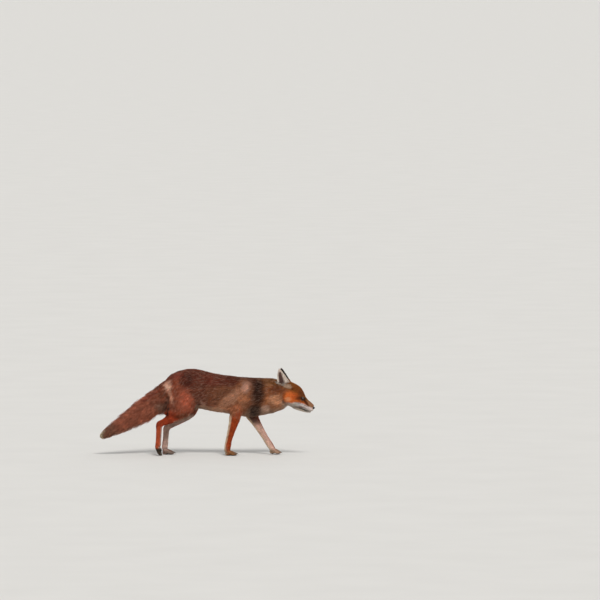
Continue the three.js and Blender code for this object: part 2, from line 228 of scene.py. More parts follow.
COAT = coat_table()
print("coat bones", len(COAT["radius"]))

# %% [markdown]
# ## Which bones rule a place
#
# A bone's weight is a bell curve of the distance to it, so a neighbour takes over slowly and no
# line shows where one coat ends and the next begins. Taking only the nearest bone would be quicker
# and would leave such lines everywhere.
# %% Bone weights
FALL = 5  # how steeply a bone's weight falls: to e to the minus five at its radius


def bone_weights(points):
    """How much each bone rules each point: e to minus FALL times the square of its distance over
    the bone's radius, divided by the sum over all bones."""
    points = np.asarray(points, np.float32)
    ratios = np.empty((len(points), len(COAT["radius"])), np.float32)
    for i, (start, end) in enumerate(zip(COAT["start"], COAT["end"])):
        along = (end - start).astype(np.float32)
        gap = points - start.astype(np.float32)
        share = np.clip(gap @ along / (along @ along), 0, 1)
        gap -= share[:, None] * along
        ratios[:, i] = np.sqrt((gap * gap).sum(1)) / COAT["radius"][i]
    ratios = ratios**2
    weights = np.exp(-FALL * (ratios - ratios.min(1, keepdims=True)))
    return weights / weights.sum(1, keepdims=True)


print("strongest weight on the back", bone_weights([[0.0, 0.0, 350.0]]).max().round(2))

# %% [markdown]
# ## Distance fields: clay for the skin
#
# The solids have gaps between them and sharp creases where a leg meets the trunk, and a real skin
# has neither. A good way to weld them is a distance field: a grid of numbers that say how far each
# place is from the surface, negative inside. Fields are joined by taking the smaller number, and a
# crease is filled by growing the surface and shrinking it back by as much, as a plasterer's rounded
# tool fills a corner. OpenVDB, which comes with Blender, turns meshes to fields and back.
# %% Fields from meshes and meshes from fields
def node_mesh(name):
    """Places and triangles of a CAD node, with its loose corners merged."""
    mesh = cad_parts[name].data
    corners = np.empty(len(mesh.vertices) * 3, np.float32)
    mesh.vertices.foreach_get("co", corners)
    loops = np.empty(len(mesh.loops), np.int32)
    mesh.loops.foreach_get("vertex_index", loops)
    places, which = np.unique(np.round(corners.reshape(-1, 3), 6), axis=0, return_inverse=True)
    return places.astype(np.float32), which.reshape(-1)[loops].reshape(-1, 3).astype(np.uint32)


def make_grid(low, high, step):
    """A grid of cubes of side step that covers a box, aligned to whole steps."""
    first = np.floor(np.array(low) / step).astype(int)
    last = np.ceil(np.array(high) / step).astype(int)
    return {"first": tuple(first), "shape": tuple(last - first + 1), "step": step}


def grid_points(grid, mask):
    """Places in mm of the grid's chosen cells."""
    return (np.argwhere(mask) + np.array(grid["first"])) * (grid["step"] / MM)


def distances(places, faces, grid, reach):
    """Distance to a closed mesh on a grid, negative inside and held to plus or minus reach."""
    by_size = {3: "triangles", 4: "quads"}
    faces = faces if isinstance(faces, list) else [faces]
    level_set = openvdb.FloatGrid.createLevelSetFromPolygons(
        np.ascontiguousarray(places, np.float32),
        transform=openvdb.createLinearTransform(voxelSize=grid["step"]),
        halfWidth=reach / grid["step"],
        **{by_size[f.shape[1]]: np.ascontiguousarray(f, np.uint32) for f in faces},
    )
    field = np.empty(grid["shape"], np.float32)
    level_set.copyToArray(field, ijk=grid["first"])
    return field


def surface(field, grid, level=0.0):
    """Places and quads of the surface where a field has a level."""
    vdb = openvdb.FloatGrid(float(field.max()))
    vdb.transform = openvdb.createLinearTransform(voxelSize=grid["step"])
    vdb.copyFromArray(np.ascontiguousarray(field), ijk=grid["first"])
    vdb.gridClass = openvdb.GridClass.LEVEL_SET
    places, _, quads = vdb.convertToPolygons(isovalue=level, adaptivity=0.0)
    return places, quads[:, ::-1]


def blurred(field, sigma):
    """The field smoothed by a bell curve of sigma cells along each axis in turn."""
    reach = int(np.ceil(sigma * 2.5))
    weights = np.exp(-0.5 * (np.arange(-reach, reach + 1) / sigma) ** 2)
    weights /= weights.sum()
    for axis in range(3):
        padded = np.concatenate(
            [field.take([0] * reach, axis), field, field.take([-1] * reach, axis)], axis
        )
        length = field.shape[axis]
        field = sum(
            w * padded.take(range(i, i + length), axis) for i, w in enumerate(weights)
        ).astype(np.float32)
    return field


print("head node", [len(part) for part in node_mesh("head")], "corners and triangles")

# %% [markdown]
# ## Welding the nodes
#
# All solids of flesh become one field. Filling the creases by 12 mm gives the webs of skin at the
# armpit and the flank. The eyes, the nose and the ears are left out, as each is made on its own.
# %% Weld the nodes
WELD = 0.4 * MM  # a little more than the gap between two nodes


def union(names, grid, reach):
    """The smallest of the named nodes' distances, each swollen enough to meet its neighbours."""
    fields = [distances(*node_mesh(name), grid, reach) - WELD for name in names]
    return np.minimum.reduce(fields)


def welded(names, grid, fillet, deepest=14 * MM):
    """One field round all the named nodes, with its creases filled to a rounded corner."""
    field = union(names, grid, fillet + 5 * grid["step"])
    grown = distances(*surface(field, grid, fillet), grid, fillet + deepest)
    return grown + fillet


FLESH = [n for n in sorted(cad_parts) if not n.startswith(("eye", "nose", "ear"))]
MARGIN = 0.012  # m of room round the solids
SMALLEST = np.array(cad_low) - MARGIN
LARGEST = np.array(cad_high) + MARGIN
BODY_STEP = 3.5  # mm, the body grid's cell
body_grid = make_grid(SMALLEST, LARGEST, BODY_STEP * MM)
outer_field = blurred(welded(FLESH, body_grid, 12 * MM, 44 * MM), 1.0)
print("body grid", body_grid["shape"])

# %% [markdown]
# ## Sinking the skin under the coat
#
# The solids are the outside of the coat, so the skin lies inside them by the coat's depth at each
# place: about a millimetre on the muzzle, six on the back and up to twenty-seven in the brush,
# which is about half hair. Adding the depth to the field moves its surface in by that much. The
# depth fades to nothing at the soles, which really touch the floor.
# %% Coat depth
SOLE_FADE = 12  # mm over the floor where the coat has its full depth


def coat_depth(points):
    """Depth in mm: the blend of the bones' depths, fading to nothing at the floor."""
    depth = bone_weights(points) @ COAT["depth"]
    return depth * smooth(0, SOLE_FADE, points[:, 2])


def sunk(field, grid, deepest):
    """The field plus the coat's depth, worked out only near the surface."""
    near = (field < 4 * MM) & (field > -deepest)
    out = field.copy()
    points = grid_points(grid, near)
    out[near] += coat_depth(points).astype(np.float32) * MM
    return out


body_field = sunk(outer_field, body_grid, 34 * MM)
print("coat on the back", coat_depth(np.array([[0.0, 0.0, 350.0]])).round(1), "mm deep")

# %% [markdown]
# ## The brush's thin core
#
# A fox's brush is a thin bony tail in a great deal of hair. Sinking the outline by the coat's depth
# leaves too little of its thin end, so a chain of cones down the middle of the tail is joined to
# the field. The cones' radius shrinks to the tip.
# %% The brush's thin core
# x, z and radius in mm
TAIL_CORE = [(-190, 290, 22), (-226, 256, 18), (-304, 199, 14), (-384, 146, 11), (-474, 91, 4.5)]


def rounded_cone(points, start, end):
    """Distance to a capsule whose radius changes evenly from one end to the other."""
    a, b = (np.array([x, 0.0, z]) for x, z, _ in (start, end))
    along = b - a
    share = np.clip((points - a) @ along / (along @ along), 0, 1)
    gap = np.linalg.norm(points - a - share[:, None] * along, axis=1)
    return gap - (start[2] + share * (end[2] - start[2]))


TAIL_STARTS = -0.15  # m, in front of which the cones aren't worked out
far_back = np.zeros(body_grid["shape"], bool)
first_x = body_grid["first"][0] * BODY_STEP * MM
far_back[: int((TAIL_STARTS - first_x) / (BODY_STEP * MM))] = True
tail_points = grid_points(body_grid, far_back)
core = np.min([rounded_cone(tail_points, *pair) for pair in zip(TAIL_CORE, TAIL_CORE[1:])], 0)
body_field[far_back] = np.minimum(body_field[far_back], core.astype(np.float32) * MM)
print("brush core", len(TAIL_CORE) - 1, "cones")

# %% [markdown]
# ## The paws
#
# Toes are too fine for the body's grid, so each paw has a finer one of its own, with no filling
# between the toes. Body and paw are both cut at the pastern and sewn together afterwards.
# %% Paw fields
PAW_STEP = 1.7 * MM
# the two corners of each paw's box, in metres
PAWS = {
    "forepaw_right": ((0.070, -0.062, -0.004), (0.160, -0.006, 0.080)),
    "forepaw_left": ((0.240, 0.006, -0.004), (0.365, 0.062, 0.080)),
    "hindpaw_right": ((-0.262, -0.062, -0.004), (-0.185, -0.006, 0.080)),
    "hindpaw_left": ((-0.225, 0.006, -0.004), (-0.130, 0.062, 0.080)),
}


def paw_field(name):
    """A paw's own fine grid and its field, sunk by the coat's depth."""
    grid = make_grid(*PAWS[name], PAW_STEP)
    above = name.replace("forepaw", "forearm").replace("hindpaw", "shank")
    return sunk(union([name, above], grid, 20 * MM), grid, 8 * MM), grid


paw_fields = {name: paw_field(name) for name in PAWS}
print("paws", {name: field.shape for name, (field, _) in paw_fields.items()})

# %% [markdown]
# ## The head
#
# A fox's face is read from small forms: a narrow muzzle with full whisker pads, a stop below the
# brow, slanting eyes under a ridge, a long mouth line, and large cupped ears. The head gets the
# finest grid. Soft forms are added and hollowed with ellipsoids in the head's own axes, blended so
# that no edge shows, and the eyelids are a shell round each eyeball with an almond cut in it.
# %% Head field
HEAD_STEP = 1.5 * MM
head_grid = make_grid((0.262, -0.078, 0.150), (0.512, 0.078, 0.412), HEAD_STEP)
HEAD_NODES = ["head", "lower_jaw", "neck"]
head_field = blurred(welded(HEAD_NODES, head_grid, 5 * MM), 1.6)
head_field = sunk(head_field, head_grid, 12 * MM)
ear_field = np.minimum(
    distances(*node_mesh("ear_left"), head_grid, 12 * MM),
    distances(*node_mesh("ear_right"), head_grid, 12 * MM),
)


def melt(a, b, k):
    """The smaller of two fields, with a soft join k wide: a fillet where they are nearly equal."""
    h = np.maximum(k - np.abs(a - b), 0) / k
    return np.minimum(a, b) - h * h * k * 0.25


head_field = melt(head_field, blurred(ear_field, 0.6) + 0.1 * MM, 7 * MM)

near_head = np.abs(head_field) < 14 * MM
LOCAL = frame_to_head(grid_points(head_grid, near_head))
shape = head_field[near_head] / MM  # worked on in mm, and put back at the end


def ball(centre, radii, tilt=0.0):
    """Distance, near enough, to an ellipsoid mirrored across the head, tilted about its Y axis."""
    p = np.stack([LOCAL[:, 0], np.abs(LOCAL[:, 1]), LOCAL[:, 2]], 1) - centre
    c, s = np.cos(np.radians(tilt)), np.sin(np.radians(tilt))
    p = np.stack([c * p[:, 0] + s * p[:, 2], p[:, 1], -s * p[:, 0] + c * p[:, 2]], 1)
    ratio = np.linalg.norm(p / radii, axis=1)
    return (ratio - 1) * min(radii)


def add(form, k):
    """The head with a form melted on."""
    return melt(shape, form, k)


def hollow(form, k):
    """The head with a form melted out of it."""
    return -melt(-shape, form, k)


print("head grid", head_grid["shape"], "with", len(shape), "places to work on")

# %% [markdown]
# ## Brow, pads and hollows
#
# Each form of the face is one ellipsoid with a centre and three radii: the brow ridge, the whisker
# pads, the upper lip and the cheek bones are added, and two hollows are taken out. They could be
# sculpted with a brush, but a number can be corrected without touching the rest.
# %% Brow, pads and hollows
EYE_RADIUS = 8.0
EYE_PLACE = np.array([-71.0, 19.0, 20.0])  # in the head's axes, left eye
shape = add(ball((-80, 17, 31), (15, 9, 6), -12), 7)  # brow ridge
shape = add(ball((-24, 10.5, -9), (15, 7.5, 8.5)), 5)  # whisker pad
shape = add(ball((-50, 12, -14), (18, 6, 5), 4), 5)  # upper lip
shape = add(ball((-92, 33, 2), (18, 7, 9), 8), 9)  # cheek bone
shape = hollow(ball((-55, 19, 15), (11, 5, 5), 30), 7)  # groove from the eye's corner
shape = hollow(ball((-50, 21.5, 2), (13, 4, 6), 10), 7)  # hollow before the cheek
print("deepest place of the head", shape.min().round(1), "mm")

# %% [markdown]
# ## Eyelids and mouth
#
# A shell round the eyeball, melted into the face, makes both lids at once, and an almond cut in it
# opens the eye on a slant. The mouth is a shallow groove that follows a line of chosen heights.
# %% Eyelids and mouth
def eye_axes(side):
    """An eye's outward axis, its long axis from inner to outer corner, and the one across."""
    out = unit(np.array([0.64, side * 0.74, 0.2]))
    long = np.array([-0.72, side * 0.58, 0.26])
    long = unit(long - out * (long @ out))
    return out, long, np.cross(out, long) * side


LID_LENGTH, LID_HEIGHT = 7.9, 4.9  # mm, half of the opening each way
LID_THICKNESS = 1.5


def lids(side):
    """The lid shell's distance, and how far outside the almond opening each point is."""
    p = LOCAL - EYE_PLACE * (1, side, 1)
    out, long, across = (p @ axis for axis in eye_axes(side))
    shell = np.linalg.norm(p, axis=1) - (EYE_RADIUS + LID_THICKNESS)
    almond = np.abs(across) - LID_HEIGHT * (1 - (long / LID_LENGTH) ** 2)
    slit = np.maximum(almond * 0.75, -out)
    return shell, slit


for side in (1, -1):
    shell, slit = lids(side)
    shape = add(shell, 3.5)
    shape = np.maximum(shape, -np.maximum(slit, shell - 6))

MOUTH_X = np.array([-84, -76, -64, -50, -38, -26, -14, -6])
MOUTH_Z = np.array([-23, -25.5, -26, -24.5, -23, -20, -16.8, -15.5])
MOUTH_MIDDLE, MOUTH_REACH = -45, 38  # mm along the head: the groove's middle and half its length
GROOVE_HALF, GROOVE_DEPTH = 0.7, 3.5


def mouth_distance(local):
    """Height of places in the head's axes over or under the mouth's line."""
    return np.abs(local[:, 2] - np.interp(local[:, 0], MOUTH_X, MOUTH_Z))


mouth_gap = mouth_distance(LOCAL) - GROOVE_HALF
mouth_gap = np.maximum(mouth_gap, np.abs(LOCAL[:, 0] - MOUTH_MIDDLE) - MOUTH_REACH)
shape = np.maximum(shape, -np.maximum(mouth_gap, -shape - GROOVE_DEPTH))
head_field[near_head] = (shape * MM).astype(np.float32)
print("mouth", 2 * MOUTH_REACH, "mm long, eye openings", 2 * LID_LENGTH, "mm")

# %% [markdown]
# ## Cutting the three meshes
#
# The three sizes of field each give a mesh of small squares. Each is cut square across, at the
# neck and at the pasterns, which leaves a ring of open edges on both sides of the cut. To sew two
# rings, their corners must be known in order, so each open edge is followed to the next.
# %% Cut a mesh and walk its rim
NECK_CUT = 0.315
PASTERN_CUT = 0.063
RIM_REACH = 0.006  # an open edge this near to a cut belongs to it


def kept_part(places, quads, keep):
    """Only the quads whose corners are all kept, with unused corners dropped."""
    quads = quads[keep[quads].all(1)]
    used, renumbered = np.unique(quads, return_inverse=True)
    return places[used], renumbered.reshape(-1, 4)


def rim(quads, places, axis, level, where):
    """The open edge near a cut, walked corner by corner from the lowest angle round the ring's
    middle, and each corner's angle, which is held from turning back where the edge is jagged."""
    edges = np.concatenate([quads[:, [i, (i + 1) % 4]] for i in range(4)])
    _, first, count = np.unique(
        np.sort(edges, axis=1), axis=0, return_index=True, return_counts=True
    )
    edges = edges[first[count == 1]]
    starts_at = places[edges[:, 0]]
    edges = edges[(np.abs(starts_at[:, axis] - level) < RIM_REACH) & where(starts_at)]
    others = [i for i in range(3) if i != axis]
    middle = places[edges[:, 0]][:, others].mean(0)

    def angles(corners):
        """Each corner's angle round the middle, across the axis."""
        flat = places[corners][:, others] - middle
        return np.arctan2(flat[:, 1], flat[:, 0])

    following = dict(edges.tolist())
    walk = [int(edges[np.argmin(angles(edges[:, 0])), 0])]
    while following[walk[-1]] != walk[0]:
        walk.append(following[walk[-1]])
    turning = np.unwrap(angles(np.array(walk)))
    if turning[-1] < turning[0]:  # the edge runs the other way round
        walk = walk[:1] + walk[:0:-1]
    walk = np.array(walk)
    return walk, np.maximum.accumulate(np.unwrap(angles(walk)))


print("cuts at", NECK_CUT, "m along and", PASTERN_CUT, "m up")

# %% [markdown]
# ## Sewing the skin together
#
# Going round both rings of a cut together by angle, each new corner makes one triangle with the
# two corners last passed. So rings of different counts are sewn with no gap. Blender's Bridge Edge
# Loops would do it too, but the right edges would have to be selected first.
# %% Sew the skin
PASTERN_GAP = 1.0 * MM
LEGS_END = 0.15  # over this height a rim near the neck's cut is the neck's own


def sewn(ring_a, angle_a, ring_b, angle_b):
    """Triangles between two rings: each corner with its forerunner and the other ring's last."""
    last_b = np.searchsorted(angle_b, angle_a, side="right") - 1
    last_a = np.searchsorted(angle_a, angle_b, side="left") - 1
    from_a = np.stack([np.roll(ring_a, 1), ring_a, ring_b[last_b]], 1)
    from_b = np.stack([ring_b, np.roll(ring_b, 1), ring_a[last_a]], 1)
    return np.concatenate([from_a, from_b])


def over_paw(places, name):
    """Which places are inside the paw's box, seen from above."""
    low, high = PAWS[name]
    inside = (places[:, :2] > np.array(low[:2])) & (places[:, :2] < np.array(high[:2]))
    return inside.all(1)


places, quads = surface(body_field, body_grid)
keep = (places[:, 0] < NECK_CUT) & (places[:, 2] > PASTERN_CUT)
parts = [kept_part(places, quads, keep)]
places, quads = surface(head_field, head_grid)
parts.append(kept_part(places, quads, places[:, 0] > NECK_CUT + HEAD_STEP))
for field, grid in paw_fields.values():
    places, quads = surface(field, grid)
    parts.append(kept_part(places, quads, places[:, 2] < PASTERN_CUT - PASTERN_GAP))

starts = np.cumsum([0] + [len(p) for p, q in parts])
skin_places = np.concatenate([p for p, q in parts]).astype(np.float64)
skin_quads = np.concatenate([q + s for (p, q), s in zip(parts, starts)])


def seam(part, axis, level, where):
    """One sewn seam between the body, part 0, and another part."""
    rings = []
    for i in (0, part):
        p, q = parts[i]
        ring, angle = rim(q, p, axis, level, where)
        rings += [ring + starts[i], angle]
    return sewn(*rings)


seams = [seam(1, 0, NECK_CUT, lambda p: p[:, 2] > LEGS_END)]
for i, name in enumerate(PAWS):
    seams.append(seam(2 + i, 2, PASTERN_CUT, lambda p, n=name: over_paw(p, n)))
skin_triangles = np.concatenate(seams)
print("skin", len(skin_places), "corners,", 2 * len(skin_quads) + len(skin_triangles), "triangles")

# %% [markdown]
# ## One mesh builder
#
# Every piece is made from arrays of places and of faces by one function. It also ties the piece to
# the model's body. A second function counts a piece's edges. A shell is closed when each of them
# has exactly two faces.
# %% Mesh builder
def make_mesh(name, places, faces):
    """A mesh object from places and a list of face arrays, each of one face size."""
    mesh = bpy.data.meshes.new(name)
    sizes = np.concatenate([np.full(len(f), f.shape[1]) for f in faces])
    corners = np.concatenate([f.ravel() for f in faces])
    mesh.vertices.add(len(places))
    mesh.vertices.foreach_set("co", np.asarray(places, np.float32).ravel())
    mesh.loops.add(len(corners))
    mesh.loops.foreach_set("vertex_index", corners.astype(np.int32))
    mesh.polygons.add(len(sizes))
    begins = np.concatenate([[0], np.cumsum(sizes)[:-1]])
    mesh.polygons.foreach_set("loop_start", begins.astype(np.int32))
    mesh.polygons.foreach_set("use_smooth", np.ones(len(sizes), bool))
    mesh.update(calc_edges=True)
    mesh.validate()
    thing = bpy.data.objects.new(name, mesh)
    bpy.context.scene.collection.objects.link(thing)
    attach(thing, "root")
    return thing


def normals_of(thing):
    """Every corner's smooth outward normal."""
    out = np.empty(len(thing.data.vertices) * 3, np.float32)
    thing.data.vertex_normals.foreach_get("vector", out)
    return out.reshape(-1, 3)


def open_edges(thing):
    """How many edges don't have exactly two faces, which is none on a closed shell."""
    counts = np.zeros(len(thing.data.edges), int)
    edges = np.empty(len(thing.data.loops), np.int32)
    thing.data.loops.foreach_get("edge_index", edges)
    np.add.at(counts, edges, 1)
    return int((counts != 2).sum())


print("mesh builder ready")

# %% [markdown]
# ## The skin
#
# The skin is the first piece, and it stands for all the solids of flesh. The seams' triangles may
# be the wrong way round, so Blender turns every face outward.
# %% The skin
skin = make_mesh("skin", skin_places, [skin_quads, skin_triangles])
bpy.context.view_layer.objects.active = skin
bpy.ops.object.select_all(action="DESELECT")
skin.select_set(True)
bpy.ops.object.mode_set(mode="EDIT")
bpy.ops.mesh.select_all(action="SELECT")
bpy.ops.mesh.normals_make_consistent(inside=False)
bpy.ops.object.mode_set(mode="OBJECT")
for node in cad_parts:
    if not node.startswith(("eye", "nose")):
        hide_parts(node)
print("skin's open edges", open_edges(skin))

# %% [markdown]
# ## Markings
#
# A fox isn't one orange. The bones' colours give the broad change from neck to rump to legs, and
# the finer markings are laid over them as soft tilted ovals seen from the side, alike on both
# sides. On the body they are the pale shoulder and haunch and the lighter and darker tufts of a
# coat that is being shed. Some ovals are painted shade: a dark band of painted shadow behind the
# neck that runs down over the chest and the far foreleg's darker top, and a dark slit of painted
# shadow between the brush and the thigh.
# %% Ovals of the body
# centre x and z, half-length, half-width, tilt in degrees, colour, strength
BODY_OVALS = [
    (-92, 345, 38, 44, 0, "#471a10", 0.75),
    (-138, 366, 24, 18, 20, "#a34b3c", 0.65),
    # a dark slit of painted shadow between the brush and the thigh
    (-181, 222, 15, 54, 4, "#1a0d07", 0.95),
    (-178, 284, 4, 26, 0, "#5e2f1e", 0.6),
    (-217, 218, 28, 30, 30, "#6f5848", 0.6),
    (-262, 272, 64, 13, 33, "#96412f", 0.6),
    (-350, 114, 100, 15, 21, "#aa7c66", 0.75),
    (-176, 317, 19, 29, 0, "#ffc3a6", 1.0),
    (-163, 268, 48, 10, -68, "#eaa98b", 0.8),
    (-97, 256, 34, 56, 0, "#c06245", 0.85),
    (-148, 225, 16, 48, 0, "#733f2c", 0.5),
    (-105, 183, 48, 17, 8, "#50321a", 0.6),
    (-38, 228, 13, 40, 25, "#4b2d1d", 0.6),
    (-14, 236, 38, 10, -56, "#b38772", 0.7),
    (12, 248, 6, 18, 0, "#8a451c", 0.6),
    (28, 345, 38, 28, 0, "#803622", 0.6),
    (120, 342, 46, 20, 0, "#642a15", 0.7),
    (112, 262, 82, 30, 38, "#cb9170", 0.75),
    (60, 212, 60, 14, 0, "#e59366", 0.6),
    (181, 314, 23, 31, 0, "#d59f86", 0.9),
    (172, 264, 28, 24, 0, "#c57d53", 0.7),
    # a dark band of painted shadow behind the neck, from the withers down
    (238, 288, 32, 78, 0, "#2a0f04", 0.93),
    # the band's lower end: painted shadow on the front of the chest
    (222, 205, 36, 38, 0, "#27150b", 0.9),
    (140, 215, 32, 28, 0, "#bd6e48", 0.6),
    (155, 188, 24, 18, 0, "#a7421d", 0.7),
    (318, 256, 46, 30, 0, "#e0a075", 0.8),
    (322, 306, 36, 28, 0, "#6e3412", 0.7),
    (272, 212, 25, 24, 0, "#caa189", 0.85),
    # the far foreleg's top: its own darker fur with painted shade over it
    (214, 162, 38, 36, 0, "#35261f", 0.85),
    (372, 219, 30, 14, -10, "#a17b5b", 0.6),
    (369, 322, 30, 13, -16, "#d8b99f", 0.75),
]
print("ovals on the body", len(BODY_OVALS))

# %% [markdown]
# ## The face's markings
#
# A fox is known by its face: an orange cheek, a white lip and chin, and a dark stripe from the eye
# to the muzzle. These are ovals too, laid one over the other in the order of the rows, like layers
# of paint. All the hair reads them, and so does the skin, which is a quarter darker,
# so that a gap between two locks reads as shade.
# %% Ovals of the head
# in the same order as the body's, as if the head faced straight along the frame
HEAD_OVALS = [
    (387, 272, 32, 30, 0, "#f8833e", 0.9),
    (414, 276, 24, 20, -20, "#c9602a", 0.6),
    (380, 261, 17, 12, 0, "#ffc08c", 0.5),
    (359, 286, 10, 20, 0, "#b24f0d", 0.6),
    (422, 307, 34, 18, -34, "#914c1d", 0.8),
    (398, 308, 6, 6, 0, "#662c0f", 0.7),
    (441, 286, 18, 22, 0, "#773f22", 0.7),
    (430, 264, 18, 10, 0, "#532410", 0.7),
    (448, 262, 14, 9, -30, "#270f07", 0.92),
    (478, 239, 24, 7, -46, "#b07f5c", 0.7),
    (395, 231, 26, 9, 0, "#e6c2b6", 0.75),
    (408, 219, 30, 12, -8, "#cdbfb1", 0.85),
    (458, 222, 34, 11, -24, "#eadcd6", 0.9),
    (425, 235, 36, 10, -6, "#fff0ea", 1.0),
    (479, 213, 22, 12, -24, "#f7e4dc", 0.95),
    (461, 243, 22, 7, -53, "#5e2b12", 0.9),
    (441, 216, 32, 7, -22, "#0d0705", 1.0),
    (436, 208, 28, 6, -20, "#e1cdb5", 0.9),
    # painted shade on the lower jaw, under the upper lip
    (466, 200, 22, 6, -20, "#6f665b", 0.8),
]


def oval(x, z, row):
    """An oval's strength: 1 well inside, fading smoothly to 0 at its edge."""
    cx, cz, long, wide, tilt, _, strength = row
    c, s = np.cos(np.radians(tilt)), np.sin(np.radians(tilt))
    along = c * (x - cx) + s * (z - cz)
    across = -s * (x - cx) + c * (z - cz)
    return strength * (1 - smooth(0.45, 1.15, np.hypot(along / long, across / wide)))


def laid_over(colour, top, strength):
    """The colour with another mixed over it, by a strength for each point."""
    return colour + (linear(top) - colour) * np.clip(strength, 0, 1)[:, None]


print("ovals on the head", len(HEAD_OVALS))

# %% [markdown]
# ## The ears' own axes
#
# An ear is a leaf rolled to a cup, so colours on it are best told by how far up it and how far
# across it a place is. The axes are those of the solid ear. Inside, the front is cream with a dark
# hollow near the rear edge, and the back is nearly black.
# %% Ears' own axes
EAR_LENGTH = 98.0
EAR_ROOT_BELOW = 8  # mm of the leaf that are sunk in the head
EAR_HALF_WIDTH = 29
EAR_SPLAY = {1: 0.36, -1: 0.2}
EAR_FLARE = 0.8  # how much wider the front edge is at the root


def ear_place(points, side):
    """Share of the way to an ear's tip, place across it from rear, -1, to front, 1, height over
    its middle, and the ear's three axes, which are the solid ear's."""
    root = np.array([-171, side * 35, 28.0])
    tipward = unit(np.array([-0.6, side * EAR_SPLAY[side], 0.76]))
    outward = np.array([0.3, side * 0.92, 0.05])
    outward = unit(outward - tipward * (tipward @ outward))
    forward = np.cross(outward, tipward) * side
    gap = frame_to_head(points) - root
    up = (gap @ tipward + EAR_ROOT_BELOW) / EAR_LENGTH
    clipped = np.clip(up, 0, 0.98)
    half = EAR_HALF_WIDTH * np.sqrt(1 - clipped**2.2) * (0.86 + 0.5 * clipped * (1 - clipped))
    across = gap @ forward / half
    across = np.where(across > 0, across / (1 + EAR_FLARE * (1 - clipped) ** 2), across)
    frame_axes = [HEAD_AXES @ v for v in (tipward, outward, forward)]
    return up, across, gap @ outward, frame_axes


def on_ear(points):
    """True for points on the free part of either ear."""
    free = np.zeros(len(points), bool)
    for side in (1, -1):
        up, across, over, _ = ear_place(points, side)
        midline = (points[:, 0] - 500) * 0.07  # the head is turned a little to its right
        beside = np.sign(points[:, 1] + 6 - midline) == side
        free |= beside & (up > 0.2) & (np.abs(across) < 1.25) & (over > -32) & (over < 12)
    return free


def ear_markings(colour, points, normals):
    """Black-brown behind, cream rims and front inside, and a dark hollow near the rear edge."""
    for side in (1, -1):
        up, across, over, (_, outward, _) = ear_place(points, side)
        mine = (across > -1.03) & (across < 1.15) & (over > -22) & (over < 14)
        mine &= np.sign(frame_to_head(points)[:, 1]) == side
        faces_out = normals @ outward
        inside = smooth(-0.1, 0.3, faces_out) * mine
        behind = smooth(0.1, -0.2, faces_out) * mine
        low_edge = 0.10 + np.where(across > 0, 0.14, 0.2) * np.abs(across)
        colour = laid_over(colour, "#e6d5c6", inside * smooth(0, 0.07, up - low_edge))
        slot = 1 - smooth(0.22, 0.58, np.abs(across + 0.1))
        slot *= smooth(0.14, 0.34, up) * (1 - smooth(0.78, 0.94, up))
        colour = laid_over(colour, "#57332b", inside * slot * 0.95)
        colour = laid_over(colour, "#8f5a34", behind * smooth(0.05, 0.15, up) * 0.7)
        colour = laid_over(colour, "#241811", behind * smooth(0.15, 0.5, up))
    return colour


print("corners on the ears", on_ear(skin_places / MM).sum())

# %% [markdown]
# ## Trunk and head
#
# Each part of the body has a function that lays its markings over the colours so far. The trunk's
# ovals are told by x and z, so they fade where the surface faces up or down. The head is turned, so
# its ovals are told in its own axes.
# %% Markings of the trunk and the head
# The dark band behind the neck is painted shadow, and the pale belly is left out under it too.
SHADE_BAND_X, SHADE_BAND_REACH = 228, (22, 48)  # mm: the pale belly is left out round the collar
HEAD_BACK = (-168, -150)  # mm behind the nose, where the head's markings begin


def wandering(points):
    """A few mm of drift along the body, so that an oval's edge isn't drawn with a ruler."""
    return waves(points, 22, 5) * 3.0


def trunk_markings(colour, points, normals):
    """The body's ovals, then the pale belly, which the painted shadow behind the neck interrupts
    all round.
    """
    x, _, z = points.T
    sideways = smooth(0.05, 0.4, np.abs(normals[:, 1]))
    drifted = x + wandering(points)
    for row in BODY_OVALS:
        colour = laid_over(colour, row[5], oval(drifted, z, row) * sideways)
    under = smooth(-0.35, -0.8, normals[:, 2]) * (z > 150) * (x > -150)
    # the pale belly fades out under the painted shadow behind the neck
    under = under * (1 - 0.85 * smooth(SHADE_BAND_REACH[1], SHADE_BAND_REACH[0], np.abs(x - SHADE_BAND_X)))
    return laid_over(colour, "#ad8f79", 0.7 * under)


def head_markings(colour, points, normals):
    """The face's ovals, as if the head's yaw were undone, then the pale chin."""
    local = frame_to_head(points)
    in_head = smooth(*HEAD_BACK, local[:, 0]) * (points[:, 0] > 330)
    flat_x = NOSE_TIP[0] + local[:, 0] * np.cos(PITCH) + local[:, 2] * np.sin(PITCH)
    flat_z = NOSE_TIP[2] - local[:, 0] * np.sin(PITCH) + local[:, 2] * np.cos(PITCH)
    for row in HEAD_OVALS:
        colour = laid_over(colour, row[5], oval(flat_x, flat_z, row) * in_head)
    chin = smooth(-0.2, -0.7, normals[:, 2]) * smooth(-140, -110, local[:, 0]) * in_head
    return laid_over(colour, "#e0d3c6", 0.85 * chin * (local[:, 2] < -10))


print("collar at", SHADE_BAND_X, "mm")

# %% [markdown]
# ## Legs and feet
#
# A red fox's legs are rusty outside and pale inside, and dark at the feet. Inside and outside are
# told by which way the surface faces, so the border runs down the middle of the limb by itself.
# %% Markings of the legs
LEG_TOP = (196, 168)  # mm over the floor: from the trunk's markings to the leg's


